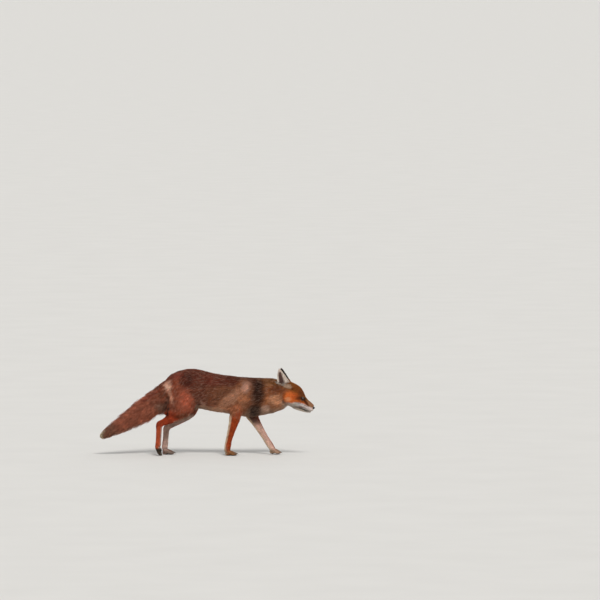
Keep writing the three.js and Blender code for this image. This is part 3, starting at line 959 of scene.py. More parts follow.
def leg_markings(colour, points, normals):
    """Pale inner sides and edges, brown feet, and dark toes where the hind foot pushes off."""
    x, y, z = points.T
    legs = smooth(*LEG_TOP, z) * (x > -260) * (x < 350)
    fore = legs * (x > 40)
    hind = legs * (x < -60) * (z < 190)
    inward = np.where(y > 0, -normals[:, 1], normals[:, 1])
    # On the far, left foreleg the pale inside is kept low down, so that its top keeps the painted
    # shade.
    low_on_left = np.where(x > 165, smooth(172, 122, z), 1)  # the reaching leg's, lower down
    colour = laid_over(colour, "#f1c8b4", fore * smooth(0.15, 0.6, inward) * low_on_left * 0.9)
    colour = laid_over(colour, "#c9b4a6", hind * smooth(0.2, 0.7, inward) * 0.75)
    # The forelegs' pale cream rear edges are partly their own pale fur and partly a painted
    # highlight of light from behind.
    colour = laid_over(colour, "#f0d5b6", fore * smooth(0.3, 0.65, -normals[:, 0]) * 0.9)
    colour = laid_over(colour, "#c9b4a6", hind * smooth(0.4, 0.8, normals[:, 0]) * (z < 150) * 0.7)
    colour = laid_over(colour, "#8f6c42", fore * smooth(34, 14, z) * 0.6)
    colour = laid_over(colour, "#2b2418", hind * smooth(42, 26, z) * (x < -190) * (y < 0))
    return laid_over(colour, "#5a4433", hind * smooth(26, 10, z) * 0.6)


print("leg markings begin at", LEG_TOP[0], "mm")

# %% [markdown]
# ## The markings of any point
#
# One function calls them all in order over the bones' colours, and adds the tail's tip and the
# bare black parts: the nose, the eyelids and the soles. Skin and locks both ask it for the colours
# of their corners, which the materials then read. The same could be built of shader nodes, but
# then a lock couldn't take the colour of the place under its outer half.
# %% The markings of any point
PALE_TIP = (-472, -488)  # mm along the body: where the tail's pale tip begins, and is full


def bare_markings(colour, points, normals):
    """Black-brown round the nose pad and the eyes, and under the feet."""
    local = frame_to_head(points)
    nose_gap = np.linalg.norm((local - (-8, 0, 0)) / (10, 11, 9.5), axis=1)
    colour = laid_over(colour, "#1b1512", smooth(1.12, 0.95, nose_gap))
    for side in (1, -1):
        eye_gap = np.linalg.norm(local - EYE_PLACE * (1, side, 1), axis=1)
        colour = laid_over(colour, "#20120b", smooth(10.6, 9.6, eye_gap) * 0.9)
    sole = smooth(-0.5, -0.9, normals[:, 2]) * (points[:, 2] < 7)
    return laid_over(colour, "#241d18", sole)


def markings(points, normals):
    """Linear colour of points in mm: the bones' blend, then every marking in turn."""
    colour = bone_weights(points) @ COAT["colour"]
    for lay in (trunk_markings, head_markings, leg_markings):
        colour = lay(colour, points, normals)
    drifted = points[:, 0] + wandering(points) / 2
    colour = laid_over(colour, "#d8c6a4", smooth(*PALE_TIP, drifted))
    colour = ear_markings(colour, points, normals)
    return np.clip(bare_markings(colour, points, normals), 0.002, 1)


def paint(thing, colours):
    """Stores one linear colour for each corner, for the material to read."""
    rgba = np.concatenate([colours, np.ones((len(colours), 1))], 1).astype(np.float32)
    layer = thing.data.color_attributes.new("Markings", "FLOAT_COLOR", "POINT")
    layer.data.foreach_set("color", rgba.ravel())


SKIN_SHADE = 0.75  # how light the skin is beside the locks over it
skin_mm = skin_places / MM
skin_normals = normals_of(skin)
skin_colours = markings(skin_mm, skin_normals) * SKIN_SHADE
paint(skin, skin_colours)
print("skin's mean colour", skin_colours.mean(0).round(3))

# %% [markdown]
# ## Materials
#
# A small function adds one node: constants go to its sockets, and a socket given instead of a
# number is linked. Textures read the object's own metres, so a second function turns the size of
# a patch in mm to their scale. Most of a fox's plain parts are one substance in two close tones,
# such as horn or wet skin, and one function makes all of these.
# %% One function for nodes
def add_node(tree, kind, sockets=None, **settings):
    """Adds a node, sets its properties, and fills its sockets with numbers or links."""
    made = tree.nodes.new(kind)
    for name, value in settings.items():
        setattr(made, name, value)
    for name, value in (sockets or {}).items():
        if isinstance(value, bpy.types.NodeSocket):
            tree.links.new(value, made.inputs[name])
        else:
            made.inputs[name].default_value = value
    return made


def coloured(hex_colour):
    """A socket's four numbers for a hex colour."""
    return (*linear(hex_colour), 1.0)


def texture_node(tree, kind, size, **sockets):
    """A texture on the object's coordinates, with patches of a size in mm."""
    place = add_node(tree, "ShaderNodeTexCoord")
    scale = 1 / (size * MM)
    return add_node(tree, kind, {"Vector": place.outputs["Object"], "Scale": scale, **sockets})


def new_material(name, build, **sockets):
    """A material of one glossy or matt shader, whose linked sockets are made by a function."""
    material = bpy.data.materials.new(name)
    material.use_nodes = True
    tree = material.node_tree
    tree.nodes.clear()
    shader = add_node(tree, "ShaderNodeBsdfPrincipled", {**sockets, **build(tree)})
    add_node(tree, "ShaderNodeOutputMaterial", {"Surface": shader.outputs["BSDF"]})
    return material


def two_tones(dark, light, size):
    """What new_material needs for a soft mottle between two colours, in patches of a size."""

    def build(tree):
        """Noise mixes the two tones."""
        mottle = texture_node(tree, "ShaderNodeTexNoise", size)
        tones = {"Factor": mottle.outputs[0], 6: coloured(dark), 7: coloured(light)}
        mixed = add_node(tree, "ShaderNodeMix", tones, data_type="RGBA")
        return {"Base Color": mixed.outputs[2]}

    return build


print("material functions ready")

# %% [markdown]
# ## Hair and skin
#
# Guard hair is keratin with its pigment inside, so a lock has one colour from the markings, a
# broad weak gloss and a slightly different tone from the next. The skin under it is hardly seen.
# It is a matt hide of the same markings, with fine bumps that stand for the shortest hairs. Combed
# fibres are the other way to make a coat, but solid locks keep their form in any program.
# %% Hair and skin
def hair_build(tree):
    """The markings, a little lighter or darker from one 3 mm patch to the next."""
    pigment = add_node(tree, "ShaderNodeAttribute", attribute_name="Markings")
    patch = texture_node(tree, "ShaderNodeTexNoise", 3.0)
    reach = {"From Min": 0.3, "From Max": 0.7, "To Min": 0.86, "To Max": 1.14}
    lift = add_node(tree, "ShaderNodeMapRange", {"Value": patch.outputs[0], **reach})
    shade = {0: pigment.outputs["Color"], "Scale": lift.outputs["Result"]}
    scaled = add_node(tree, "ShaderNodeVectorMath", shade, operation="SCALE")
    return {"Base Color": scaled.outputs["Vector"]}


def skin_build(tree):
    """The markings, and bumps about a millimetre across and less than half a millimetre high."""
    pigment = add_node(tree, "ShaderNodeAttribute", attribute_name="Markings")
    nap = texture_node(tree, "ShaderNodeTexNoise", 1.1, Detail=3.0)
    height = {"Height": nap.outputs[0], "Strength": 0.5, "Distance": 0.4 * MM}
    bump = add_node(tree, "ShaderNodeBump", height)
    return {"Base Color": pigment.outputs["Color"], "Normal": bump.outputs["Normal"]}


# Locks of guard hair: keratin strands that cling together, matt with a weak gloss.
HAIR = new_material("fox_guard_hair", hair_build, **{"Roughness": 0.58, "Specular IOR Level": 0.16})
# Tanned fox hide with its shortest hairs left on: quite matt.
HIDE = new_material(
    "fox_short_haired_skin", skin_build, **{"Roughness": 0.75, "Specular IOR Level": 0.25}
)
skin.data.materials.append(HIDE)
print("hair and hide ready")

# %% [markdown]
# ## Rings of corners
#
# Eyes, lids' edges, claws and whiskers are all rings of corners, one behind the other. One function
# joins each ring to the next by squares and closes both ends by fans of triangles. Blender has
# spheres and cones ready made, but arrays keep every corner in reach.
# %% Faces between rings
def ring_faces(rings, around, loop=False):
    """Quads between rings of `around` corners each, and fans to two end corners after the rings.

    A loop's last ring is joined to its first, and it has no ends."""
    count = rings * around
    row = np.arange(0, count if loop else count - around, around)[:, None]
    column = np.arange(around)[None]
    ahead, after = (column + 1) % around, (row + around) % count
    quads = np.stack([row + column, after + column, after + ahead, row + ahead], -1)
    quads = quads.reshape(-1, 4)
    if loop:
        return quads, np.empty((0, 3), int)
    end = count - around
    first = np.stack([np.full(around, count), column[0], ahead[0]], 1)
    last = np.stack([np.full(around, count + 1), end + ahead[0], end + column[0]], 1)
    return quads, np.concatenate([first, last])


print("three rings of eight make", [len(f) for f in ring_faces(3, 8)], "quads and triangles")

# %% [markdown]
# ## Eyes
#
# A fox's eye is a glossy ball nearly 16 mm across, mostly hidden by its lids. A ball with a small
# bulge in front for the cornea is enough. Its rings stand round its own axis, which points the way
# the eye looks, so the iris can be painted on its corners.
# %% Eyeballs
EYE_RINGS, EYE_SPOKES = 95, 96
EYE_PLAY = 0.15  # mm by which the ball is smaller than its socket
CORNEA_RISE, CORNEA_ANGLE = 0.55, 0.5  # mm over the ball, and radians from the axis


def eyeball(side):
    """Rings round the eye's axis: the ball's radius, plus a bulge that is a bell over the axis.

    It gives the places in the head's axes, the faces, and for each corner how far it is sideways,
    upright and to the front, as shares of the radius."""
    out = eye_axes(side)[0]
    across = unit(np.array([0.0, 0.0, 1.0]) - out * out[2])
    level = np.cross(out, across)
    polar = np.linspace(0, np.pi, EYE_RINGS + 2)[1:-1, None]
    around = np.linspace(0, 2 * np.pi, EYE_SPOKES + 1)[None, :-1]
    radius = EYE_RADIUS - EYE_PLAY + CORNEA_RISE * np.exp(-((polar / CORNEA_ANGLE) ** 4))
    a = radius * np.cos(polar) + 0 * around
    b = radius * np.sin(polar) * np.cos(around)
    c = radius * np.sin(polar) * np.sin(around)
    local = a[..., None] * out + b[..., None] * level + c[..., None] * across
    poles = np.array([out * radius[0, 0], -out * radius[-1, 0]])
    local = np.concatenate([local.reshape(-1, 3), poles]) + EYE_PLACE * (1, side, 1)
    sideways = np.append((b / radius).ravel(), [0, 0])
    upright = np.append((c / radius).ravel(), [0, 0])
    front = np.append(np.broadcast_to(np.cos(polar), a.shape).ravel(), [1, -1])
    return local, ring_faces(EYE_RINGS, EYE_SPOKES), (sideways, upright, front)


print("eye corners", EYE_RINGS * EYE_SPOKES + 2)

# %% [markdown]
# ## Iris and pupil
#
# The iris is amber brown with faint spokes and a dark ring round it, and a fox's pupil is an
# upright slit. Each is laid over the last by its distance from the eye's axis. An image could be
# wrapped on the ball instead, but it would blur where the pupil's edge should be sharp.
# %% Iris and pupil
IRIS_REACH = (0.40, 0.54)  # shares of the radius, from amber to the dark ring
PUPIL_WIDTH, PUPIL_HEIGHT = 0.2, 0.38  # half of the slit each way


def iris_colours(sideways, upright, front):
    """Amber with spokes, its dark ring, the pupil as a soft ellipse, and dark all round."""
    spread = np.hypot(sideways, upright)
    directions = np.stack([sideways, upright, 0 * spread], 1) / (spread[:, None] + 0.05)
    spokes = 0.5 + 0.5 * waves(directions, 0.5, 3)
    iris = laid_over(np.tile(linear("#4c2709"), (len(spread), 1)), "#7d4a12", spokes * 0.6)
    iris = laid_over(iris, "#2a1405", smooth(*IRIS_REACH, spread))
    pupil = np.hypot(sideways / PUPIL_WIDTH, upright / PUPIL_HEIGHT)
    iris = laid_over(iris, "#060403", smooth(1.12, 0.9, pupil))
    return laid_over(iris, "#2b1a12", smooth(0.55, 0.62, spread) + (front < 0))


print("iris", round(2 * EYE_RADIUS * IRIS_REACH[1], 1), "mm across")

# %% [markdown]
# ## Eye and nose surfaces
#
# An eye is always wet, so it needs a clear coat that gives a small sharp highlight. The nose and
# the lids' edges are bare black skin: pebbled, moist and less glossy. Cells of a Voronoi pattern
# stand for the pebbles, as both are rounded patches that fit together with no gap.
# %% Eye and nose materials
def eye_build(tree):
    """The colours stored on the ball's corners."""
    pigment = add_node(tree, "ShaderNodeAttribute", attribute_name="Markings")
    return {"Base Color": pigment.outputs["Color"]}


def leather_build(tree):
    """Cells a little over half a millimetre across, with low rims that are a little lighter."""
    pebble = texture_node(tree, "ShaderNodeTexVoronoi", 0.7)
    tones = {"Factor": pebble.outputs["Distance"], 6: coloured("#1b1512"), 7: coloured("#2f2722")}
    mixed = add_node(tree, "ShaderNodeMix", tones, data_type="RGBA")
    height = {"Height": pebble.outputs["Distance"], "Strength": 0.6, "Distance": 0.3 * MM}
    bump = add_node(tree, "ShaderNodeBump", height)
    return {"Base Color": mixed.outputs[2], "Normal": bump.outputs["Normal"]}


# A living eye: so smooth under its film of tears that a lamp is mirrored as a small sharp point.
EYE_SURFACE = new_material(
    "moist_eye",
    eye_build,
    **{
        "Roughness": 0.12,
        "Specular IOR Level": 0.3,
        "Coat Weight": 0.25,
        "Coat Roughness": 0.03,
        "IOR": 1.36,
    },
)
# Bare black skin of the nose and lids: pebbled and moist.
WET_SKIN = new_material(
    "moist_black_skin",
    leather_build,
    **{"Roughness": 0.38, "Coat Weight": 0.35, "Coat Roughness": 0.2, "IOR": 1.36},
)
for side, node in ((1, "eye_left"), (-1, "eye_right")):
    local, faces, directions = eyeball(side)
    ball_thing = make_mesh(f"{node}_ball", head_to_frame(local) * MM, faces)
    paint(ball_thing, iris_colours(*directions))
    ball_thing.data.materials.append(EYE_SURFACE)
    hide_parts(node)
print("eyes made of", len(local), "corners each")

# %% [markdown]
# ## Lids' edges
#
# Bare black skin edges each eye like a thin cord. A tube does this, and later the claws and the
# whiskers too: circles of given radii stand square on a path and are joined ring to ring. A curve
# object with a bevel would do as well, but it can't so easily be one mesh with its neighbours.
# %% Lid rims
def tube(path, radii, around, helper, loop=False):
    """Places, quads and triangles of a tube of circles, with `around` corners each, on a path.

    The helper is any direction that the path never points along."""
    path = np.asarray(path, float)
    tangent = np.roll(path, -1, 0) - np.roll(path, 1, 0) if loop else np.gradient(path, axis=0)
    side_way = unit(np.cross(unit(tangent), helper))
    up_way = np.cross(side_way, unit(tangent))
    angle = np.linspace(0, 2 * np.pi, around, endpoint=False)[None, :, None]
    ring = np.cos(angle) * side_way[:, None] + np.sin(angle) * up_way[:, None]
    places = (path[:, None] + ring * np.asarray(radii)[:, None, None]).reshape(-1, 3)
    if not loop:
        places = np.concatenate([places, path[[0, -1]]])
    return places, *ring_faces(len(path), around, loop)


def joined(shapes):
    """The places of several tubes as one, and the list of their quads and their triangles."""
    starts = np.cumsum([0] + [len(places) for places, _, _ in shapes])
    quads = [q + start for (_, q, _), start in zip(shapes, starts)]
    triangles = [t + start for (_, _, t), start in zip(shapes, starts)]
    places = np.concatenate([p for p, _, _ in shapes])
    return places, [np.concatenate(quads), np.concatenate(triangles)]


def lid_rim(side):
    """The almond's edge on a sphere just over the eyeball, as a thin dark tube."""
    out, long, across = eye_axes(side)
    t = np.linspace(0, 2 * np.pi, 72, endpoint=False)
    b = (LID_LENGTH - 0.35) * np.cos(t)
    c = (LID_HEIGHT - 0.1) * np.sin(t) * np.abs(np.sin(t)) ** 0.35
    a = np.sqrt(np.maximum((EYE_RADIUS + 0.55) ** 2 - b**2 - c**2, 0.5))
    path = a[:, None] * out + b[:, None] * long + c[:, None] * across
    path = head_to_frame(path + EYE_PLACE * (1, side, 1)) * MM
    return tube(path, np.full(len(t), 0.65 * MM), 10, HEAD_AXES @ out, loop=True)


rims = make_mesh("eyelid_rims", *joined([lid_rim(1), lid_rim(-1)]))
rims.data.materials.append(WET_SKIN)
print("lid rims", open_edges(rims), "open edges")

# %% [markdown]
# ## Nose
#
# The nose pad is bare pebbled skin, with round nostrils that trail into slits at the sides and a
# groove down its middle. It is cut from an ellipsoid in a small field of its own.
# %% Nose pad
NOSE_MIDDLE = head_to_frame((-9, 0, 0))
nose_grid = make_grid((NOSE_MIDDLE - 15) * MM, (NOSE_MIDDLE + 15) * MM, 0.45 * MM)
every = np.ones(nose_grid["shape"], bool)
LOCAL = frame_to_head(grid_points(nose_grid, every))
shape = ball((-10.0, 0, 0.1), (8.8, 10.2, 8.9))
slope = 0.84 * (LOCAL[:, 0] + 2.3) - 0.54 * (LOCAL[:, 2] + 0.5)
shape = np.maximum(shape, slope)  # the front, cut flat and leaning back below
shape = np.maximum(shape, LOCAL[:, 2] - 6.5 - 0.1 * LOCAL[:, 0])  # the flat top
shape = hollow(ball((-2.7, 4.5, 0.2), (5.0, 2.4, 2.6)), 0.8)  # nostrils
shape = hollow(ball((-6.4, 8.7, -1.2), (4.2, 2.2, 1.0), 12), 0.6)  # their side slits
shape = hollow(ball((-1.6, 0, -2.5), (1.4, 0.5, 5.5)), 0.5)  # groove down the middle
nose_field = blurred((shape * MM).reshape(nose_grid["shape"]).astype(np.float32), 0.8)
nose_places, nose_quads = surface(nose_field, nose_grid)
nose = make_mesh("nose_pad", nose_places, [nose_quads])
nose.data.materials.append(WET_SKIN)
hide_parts("nose")
print("nose", len(nose_quads), "quads")

# %% [markdown]
# ## Claws
#
# Each toe ends in a short curved claw of grey-brown horn. One is a tapering tube bent down, and
# its place comes from the same toe as the solid's: a curve that leaves the knuckle level, bends to
# the tip and is turned down where the foot pushes off.
# %% Claws
TOES = (-13, -4.6, 4.6, 13)  # mm from the foot's middle
OUTER_SHORTER, TOE_LENGTH, KNUCKLE_HEIGHT = -7, 42, 27
# forward, height and spread of the claw's root, its bend and its tip
CLAW_BEND = ((37, 10.5, 1.07), (45.5, 11.5, 1.1), (51, 4.0, 1.12))
TOE_PITCH = {"right_fore": 0, "left_fore": 4, "right_hind": 48, "left_hind": 0}


def toe_place(knuckle, offset, pitch, forward, height, spread):
    """A place on a toe: forward and height from the knuckle, turned down by the foot's pitch."""
    shorter = OUTER_SHORTER if abs(offset) > 10 else 0
    turn = np.radians(pitch)
    x, rise = forward + shorter * forward / TOE_LENGTH, height - KNUCKLE_HEIGHT
    return np.array(
        [
            knuckle[0] + 0.55 + x * np.cos(turn) + rise * np.sin(turn),
            knuckle[1] + offset * spread,
            knuckle[2] - x * np.sin(turn) + rise * np.cos(turn),
        ]
    )


def claw(knuckle, offset, pitch):
    """A tube on a parabola drawn by three places of the toe, thinning to a blunt point."""
    p0, p1, p2 = (toe_place(knuckle, offset, pitch, *place) for place in CLAW_BEND)
    t = np.linspace(0, 1, 12)[:, None]
    path = (1 - t) ** 2 * p0 + 2 * t * (1 - t) * p1 + t**2 * p2
    path[:, 2] = np.maximum(path[:, 2], 0.6)
    radii = 1.9 * (1 - t[:, 0] ** 1.6) ** 0.8 + 0.12
    return tube(path * MM, radii * MM, 8, (0.0, 1.0, 0.0))


claws = []
for side in ("right", "left"):
    for foot, legs in (("fore", FORELEGS), ("hind", HINDLEGS)):
        for offset in TOES:
            claws.append(claw(legs[side][3], offset, TOE_PITCH[f"{side}_{foot}"]))
claw_thing = make_mesh("claws", *joined(claws))
# Claw horn: dark and hard, in thin grown layers.
HORN = new_material(
    "claw_horn", two_tones("#2c231b", "#5f5040", 0.8), **{"Roughness": 0.35, "IOR": 1.55}
)
claw_thing.data.materials.append(HORN)
print("claws", len(claws), "with", open_edges(claw_thing), "open edges")

# %% [markdown]
# ## The coat
#
# A fox carries fine hair in locks: a few dozen hairs that cling together and lie along the body,
# tip over root, like tiles. Each lock here is a thin blade of solid, three-sided, so it is closed
# and still catches light like a bundle. What makes a coat convincing is not one lock but how they
# change: where they grow, which way they lie, how long and how deep they are, and their colours.
#
# The bones' table gives all of these. A second distance field, round the finished skin, says how
# high above it any place is, so the long locks can follow the body's curves instead of cutting
# through them. The outer field, of the solids, holds the tips to the fox's true outline.
# %% Regions of the coat
LEG_REGIONS = ["shoulder", "foreleg", "foreleg", "paw"] * 2
LEG_REGIONS += ["haunch", "hindleg", "hindleg", "paw"] * 2
REGIONS = np.array(
    ["face"] * 3
    + ["neck", "neck", "flank", "neck", "flank", "belly", "rump", "rump"]
    + ["brush"] * 3
    + LEG_REGIONS
    + ["face"] * 2
    + ["neck"] * 2
    + ["flank"] * 4
)
# mm between locks, a lock's width in mm, and a name for the kind of coat
LOCKS = {
    "face": (1.45, 0.85, "face_coat"),
    "ear": (1.7, 0.9, "ear_coat"),
    "neck": (2.8, 1.6, "neck_coat"),
    "shoulder": (2.7, 1.5, "body_coat"),
    "flank": (2.9, 1.6, "body_coat"),
    "belly": (3.0, 1.7, "pale_coat"),
    "rump": (2.8, 1.6, "body_coat"),
    "brush": (2.2, 1.7, "brush_coat"),
    "haunch": (2.7, 1.5, "body_coat"),
    "foreleg": (2.0, 1.1, "leg_coat"),
    "hindleg": (2.0, 1.1, "leg_coat"),
    "paw": (1.7, 0.8, "leg_coat"),
}
FEWER = 1.0  # a draft has wider gaps and wider locks


def regions_of(points):
    """The region of the strongest bone, or the ear."""
    return np.where(on_ear(points), "ear", REGIONS[bone_weights(points).argmax(1)])


print("kinds of hair", len(LOCKS), "for", len(REGIONS), "bones")

# %% [markdown]
# ## The brush's outline
#
# Hair on the brush is so long that a straight lock would stick out of its round shape. So each
# place of a lock is drawn in to the outline, which is an ellipse across the brush at each distance
# along it. It could also be asked of the distance field, but a table gives a smoother edge.
# %% The brush's outline
# the axis x and z, then the outline's rise, drop and half-width there, all in mm
TAIL_OUTLINE = np.array(
    [
        [-182, 298, 51, 82, 36],
        [-225, 255, 60, 87, 44],
        [-245, 240, 60, 71, 47],
        [-264, 225, 59, 62, 48],
        [-304, 195, 56, 59, 49],
        [-384, 145, 41, 42, 37],
        [-448, 106, 25, 25, 23],
        [-484, 83, 12, 12, 11],
        [-502, 71, 3, 3, 3],
    ],
    float,
)
TAIL_WAY = unit(np.array([-275.0, 0, -183]))
TAIL_TIP = np.array([-500.0, 0.0, 72.0])


def held_in_brush(points, allowance):
    """Points drawn in to the brush's outline: an ellipse across its axis at each distance."""
    stations = TAIL_OUTLINE[:, 0] * TAIL_WAY[0] + TAIL_OUTLINE[:, 1] * TAIL_WAY[2]
    along = points @ TAIL_WAY
    x, z, rise, drop, wide = (np.interp(along, stations, c) for c in TAIL_OUTLINE.T)
    gap = points - np.stack([x, 0 * x, z], 1)
    upward = np.array([TAIL_WAY[2], 0, -TAIL_WAY[0]])
    level = gap @ upward
    tall = np.where(level > 0, rise, drop)
    ratio = np.hypot(level / (tall + allowance), gap[:, 1] / (wide + allowance))
    pull = np.where(ratio > 1, 1 - 1 / np.maximum(ratio, 1e-6), 0)[:, None]
    across = level[:, None] * upward + gap[:, 1:2] * (0, 1, 0)
    beyond = np.maximum(along - stations[-1] - 5, 0)[:, None]
    return points - across * pull - TAIL_WAY * beyond


print("brush", TAIL_OUTLINE[:, 2:4].sum(1).max(), "mm deep at its thickest")

# %% [markdown]
# ## Two height fields
#
# A lock must stay over the skin and under the true outline. Both heights are stored on a grid with
# their slopes, so that thousands of places can be looked up at once by mixing the eight values
# round each. Casting rays would answer too, but far more slowly.
# %% Height over the skin, and over the outline
SKIN_STEP = 3.0  # mm
height_grid = make_grid(SMALLEST, LARGEST, SKIN_STEP * MM)
over_skin = distances(skin_places, [skin_quads, skin_triangles], height_grid, 42 * MM) / MM
OVER_SKIN = np.stack([over_skin, *np.gradient(over_skin, SKIN_STEP)], -1)
over_outline = outer_field / MM
OVER_OUTLINE = np.stack([over_outline, *np.gradient(over_outline, BODY_STEP)], -1)


def sample(volume, grid, points):
    """Values between a grid's cells: those of the eight nearest, each weighted by its closeness."""
    at = points * (MM / grid["step"]) - np.array(grid["first"])
    at = np.clip(at, 0, np.array(volume.shape[:3]) - 1.001)
    cell = at.astype(int)
    share = at - cell
    total = np.zeros((len(points), volume.shape[3]))
    for corner in np.ndindex(2, 2, 2):
        near = np.where(corner, share, 1 - share).prod(1)
        i, j, k = (cell + corner).T
        total += near[:, None] * volume[i, j, k]
    return total


print("height grid", height_grid["shape"])

# %% [markdown]
# ## Where the locks grow
#
# Random places are thrown on the skin's triangles by area, then thinned to one for each small cube,
# which spaces them evenly without rows. Cubes are small on the face and paws and larger on the
# back. Places on lips, eye openings, the nose pad and the soles are dropped.
# %% Where the locks grow
rng = np.random.default_rng(20)
THROWN = 3  # places thrown for each cube's face, of which the first in a cube is kept
LIP_BARE = 1.7  # mm over and under the mouth's line
SOLE_BARE = 4.5  # mm over the floor


def scattered():
    """Random places all over the skin, thinned to one for each small cube of its own region."""
    triangles = np.concatenate(
        [skin_quads[:, [0, 1, 2]], skin_quads[:, [0, 2, 3]], skin_triangles]
    ).astype(int)
    a, b, c = (skin_mm[triangles[:, i]] for i in range(3))
    area = np.linalg.norm(np.cross(b - a, c - a), axis=1) / 2
    corner_region = regions_of(skin_mm)
    gap = np.array([LOCKS[r][0] for r in LOCKS]) * FEWER
    index = {r: i for i, r in enumerate(LOCKS)}
    region = np.array([index[r] for r in corner_region])[triangles[:, 0]]
    each = rng.poisson(area / gap[region] ** 2 * THROWN)
    which = np.repeat(np.arange(len(triangles)), each)
    u, v = rng.random((2, len(which)))
    u, v = np.where(u + v > 1, 1 - u, u), np.where(u + v > 1, 1 - v, v)
    share = np.stack([1 - u - v, u, v], 1)[..., None]
    place = (skin_mm[triangles[which]] * share).sum(1)
    normal = unit((skin_normals[triangles[which]] * share).sum(1))
    order = rng.permutation(len(place))
    place, normal, region = place[order], normal[order], region[which][order]
    cube = np.floor(place / gap[region][:, None]).astype(int)
    key = np.concatenate([region[:, None], cube], 1)
    _, first = np.unique(key, axis=0, return_index=True)
    return place[first], normal[first], np.array(list(LOCKS))[region[first]]


def bare(place, normal):
    """True where no lock grows: eye openings, lips' edges, the nose pad and the soles."""
    local = frame_to_head(place)
    near_nose = np.linalg.norm((local - (-9.8, 0, 0)) / (9.8, 10.8, 9.6), axis=1) < 1.0
    lips = mouth_distance(local) < LIP_BARE
    lips &= np.abs(local[:, 0] - MOUTH_MIDDLE) < MOUTH_REACH
    lips &= np.abs(normal[:, 1]) > 0.3
    hidden = near_nose | (lips & (place[:, 0] > 400))
    for side in (1, -1):
        out, long, across = eye_axes(side)
        gap = local - EYE_PLACE * (1, side, 1)
        inside = np.hypot(gap @ long / (LID_LENGTH + 1.2), gap @ across / (LID_HEIGHT + 1.1))
        hidden |= (inside < 1) & (gap @ out > 0)
    hidden |= (place[:, 2] < SOLE_BARE) & (normal[:, 2] < -0.4)
    return hidden


root, root_normal, root_region = scattered()
grows = ~bare(root, root_normal)
root, root_normal, root_region = root[grows], root_normal[grows], root_region[grows]
names, counts = np.unique(root_region, return_counts=True)
print("locks", len(root), dict(zip(names.tolist(), counts.tolist())))

# %% [markdown]
# ## Which way, how long and how deep
#
# The bones' blend gives each lock its direction, length and depth. Round the eyes and along the
# mouth hair is shorter, in the brush it reaches the outline, and on the ears it follows the leaf:
# upward, and inside it also slanting across. Combing by hand would be the usual way.
# %% Which way, how long and how deep
EYE_RING = (10, 20)  # mm from the eye's middle: from short hair to full hair


def comb_ears(points, normals, region, flow, length, depth):
    """Sets the locks on the ears: short outside, and longer inside, most of all at the root."""
    for side in (1, -1):
        up, across, _, (tipward, outward, forward) = ear_place(points, side)
        mine = (region == "ear") & (np.sign(frame_to_head(points)[:, 1]) == side)
        inner = mine & (normals @ outward > 0.2)
        flow[mine] = tipward
        lean = np.clip(across[inner], -1, 1)[:, None]
        flow[inner] = unit(tipward - 0.75 * forward * np.maximum(lean, -0.3))
        at_rim = smooth(0.6, 0.95, np.abs(across))
        length[mine], depth[mine] = (5 - 2.2 * at_rim)[mine], 0.6
        length[inner] = (8 + 5 * smooth(0.5, 0.1, up) - 4.5 * at_rim)[inner]
        depth[inner] = (1.2 - 0.6 * at_rim)[inner]


def lie_of_coat(points, normals, region):
    """Direction, length and depth of each lock, from the bones' blend and, on ears, its axes."""
    weights = bone_weights(points)
    mirrored = np.where(COAT["spread"] != 0, COAT["flow"][:, 1], 0)
    plain = np.where(COAT["spread"] == 0, COAT["flow"][:, 1], 0)
    flow = weights @ COAT["flow"]
    flow[:, 1] = weights @ plain + np.sign(points[:, 1]) * (weights @ mirrored)
    length = weights @ COAT["length"]
    depth = coat_depth(points)
    in_brush = region == "brush"
    outline = -sample(OVER_OUTLINE, body_grid, points[in_brush])[:, 0]
    depth[in_brush] = np.clip(outline, 4, 44)
    to_tip = np.abs((TAIL_TIP - points[in_brush]) @ TAIL_WAY)
    length[in_brush] = np.minimum(length[in_brush], 0.75 * to_tip + 7)
    comb_ears(points, normals, region, flow, length, depth)
    local = frame_to_head(points)
    shorter = 1 - 0.5 * (local[:, 0] > -90) * smooth(8, 2, mouth_distance(local))
    for side in (1, -1):
        gap = np.linalg.norm(local - EYE_PLACE * (1, side, 1), axis=1)
        shorter *= 0.45 + 0.55 * smooth(*EYE_RING, gap)
    length, depth = length * shorter, depth * shorter
    return flow, length, depth


flow, lock_length, lock_depth = lie_of_coat(root, root_normal, root_region)
print("locks from", lock_length.min().round(1), "to", lock_length.max().round(1), "mm long")

# %% [markdown]
# ## Swirls
#
# No coat lies perfectly straight. Each lock's direction is turned a little by two sizes of smooth
# noise, which neighbours share, and by a little chance of its own. Its length and depth are varied
# in the same way, and that is what makes tufts.
# %% Swirls
SWIRL = 0.11  # radians that either size of noise turns a lock


def turned(flow, normal, angle):
    """The direction laid flat on the skin, then turned about the normal by an angle."""
    flat = unit(flow - normal * (flow * normal).sum(1, keepdims=True))
    return flat * np.cos(angle)[:, None] + np.cross(normal, flat) * np.sin(angle)[:, None]


swirl = SWIRL * waves(root, 60, 11) + SWIRL * waves(root, 21, 12)
swirl = swirl + rng.normal(0, 0.09, len(root))
heading = turned(flow, root_normal, swirl)
lock_length = lock_length * rng.uniform(0.8, 1.12, len(root))
lock_depth = lock_depth * rng.uniform(0.72, 1.06, len(root))
lock_depth *= 1 + 0.10 * waves(root, 17, 13)
print("turned by up to", np.degrees(np.abs(swirl).max()).round(), "degrees")

# %% [markdown]
# ## One lock, many times
#
# A lock leaves the skin steeply and lies down as it goes, so its height is the depth times one
# minus the square of what is left of its length. It is stepped along the skin, and after each step
# it is lifted to that height. Particle hair bends in the same way, but its strands aren't solids.
# %% Paths of the locks
ROOT_SUNK = 0.6  # mm of a lock that are inside the skin
LOWEST = 0.35  # mm over the floor that a lock's middle keeps


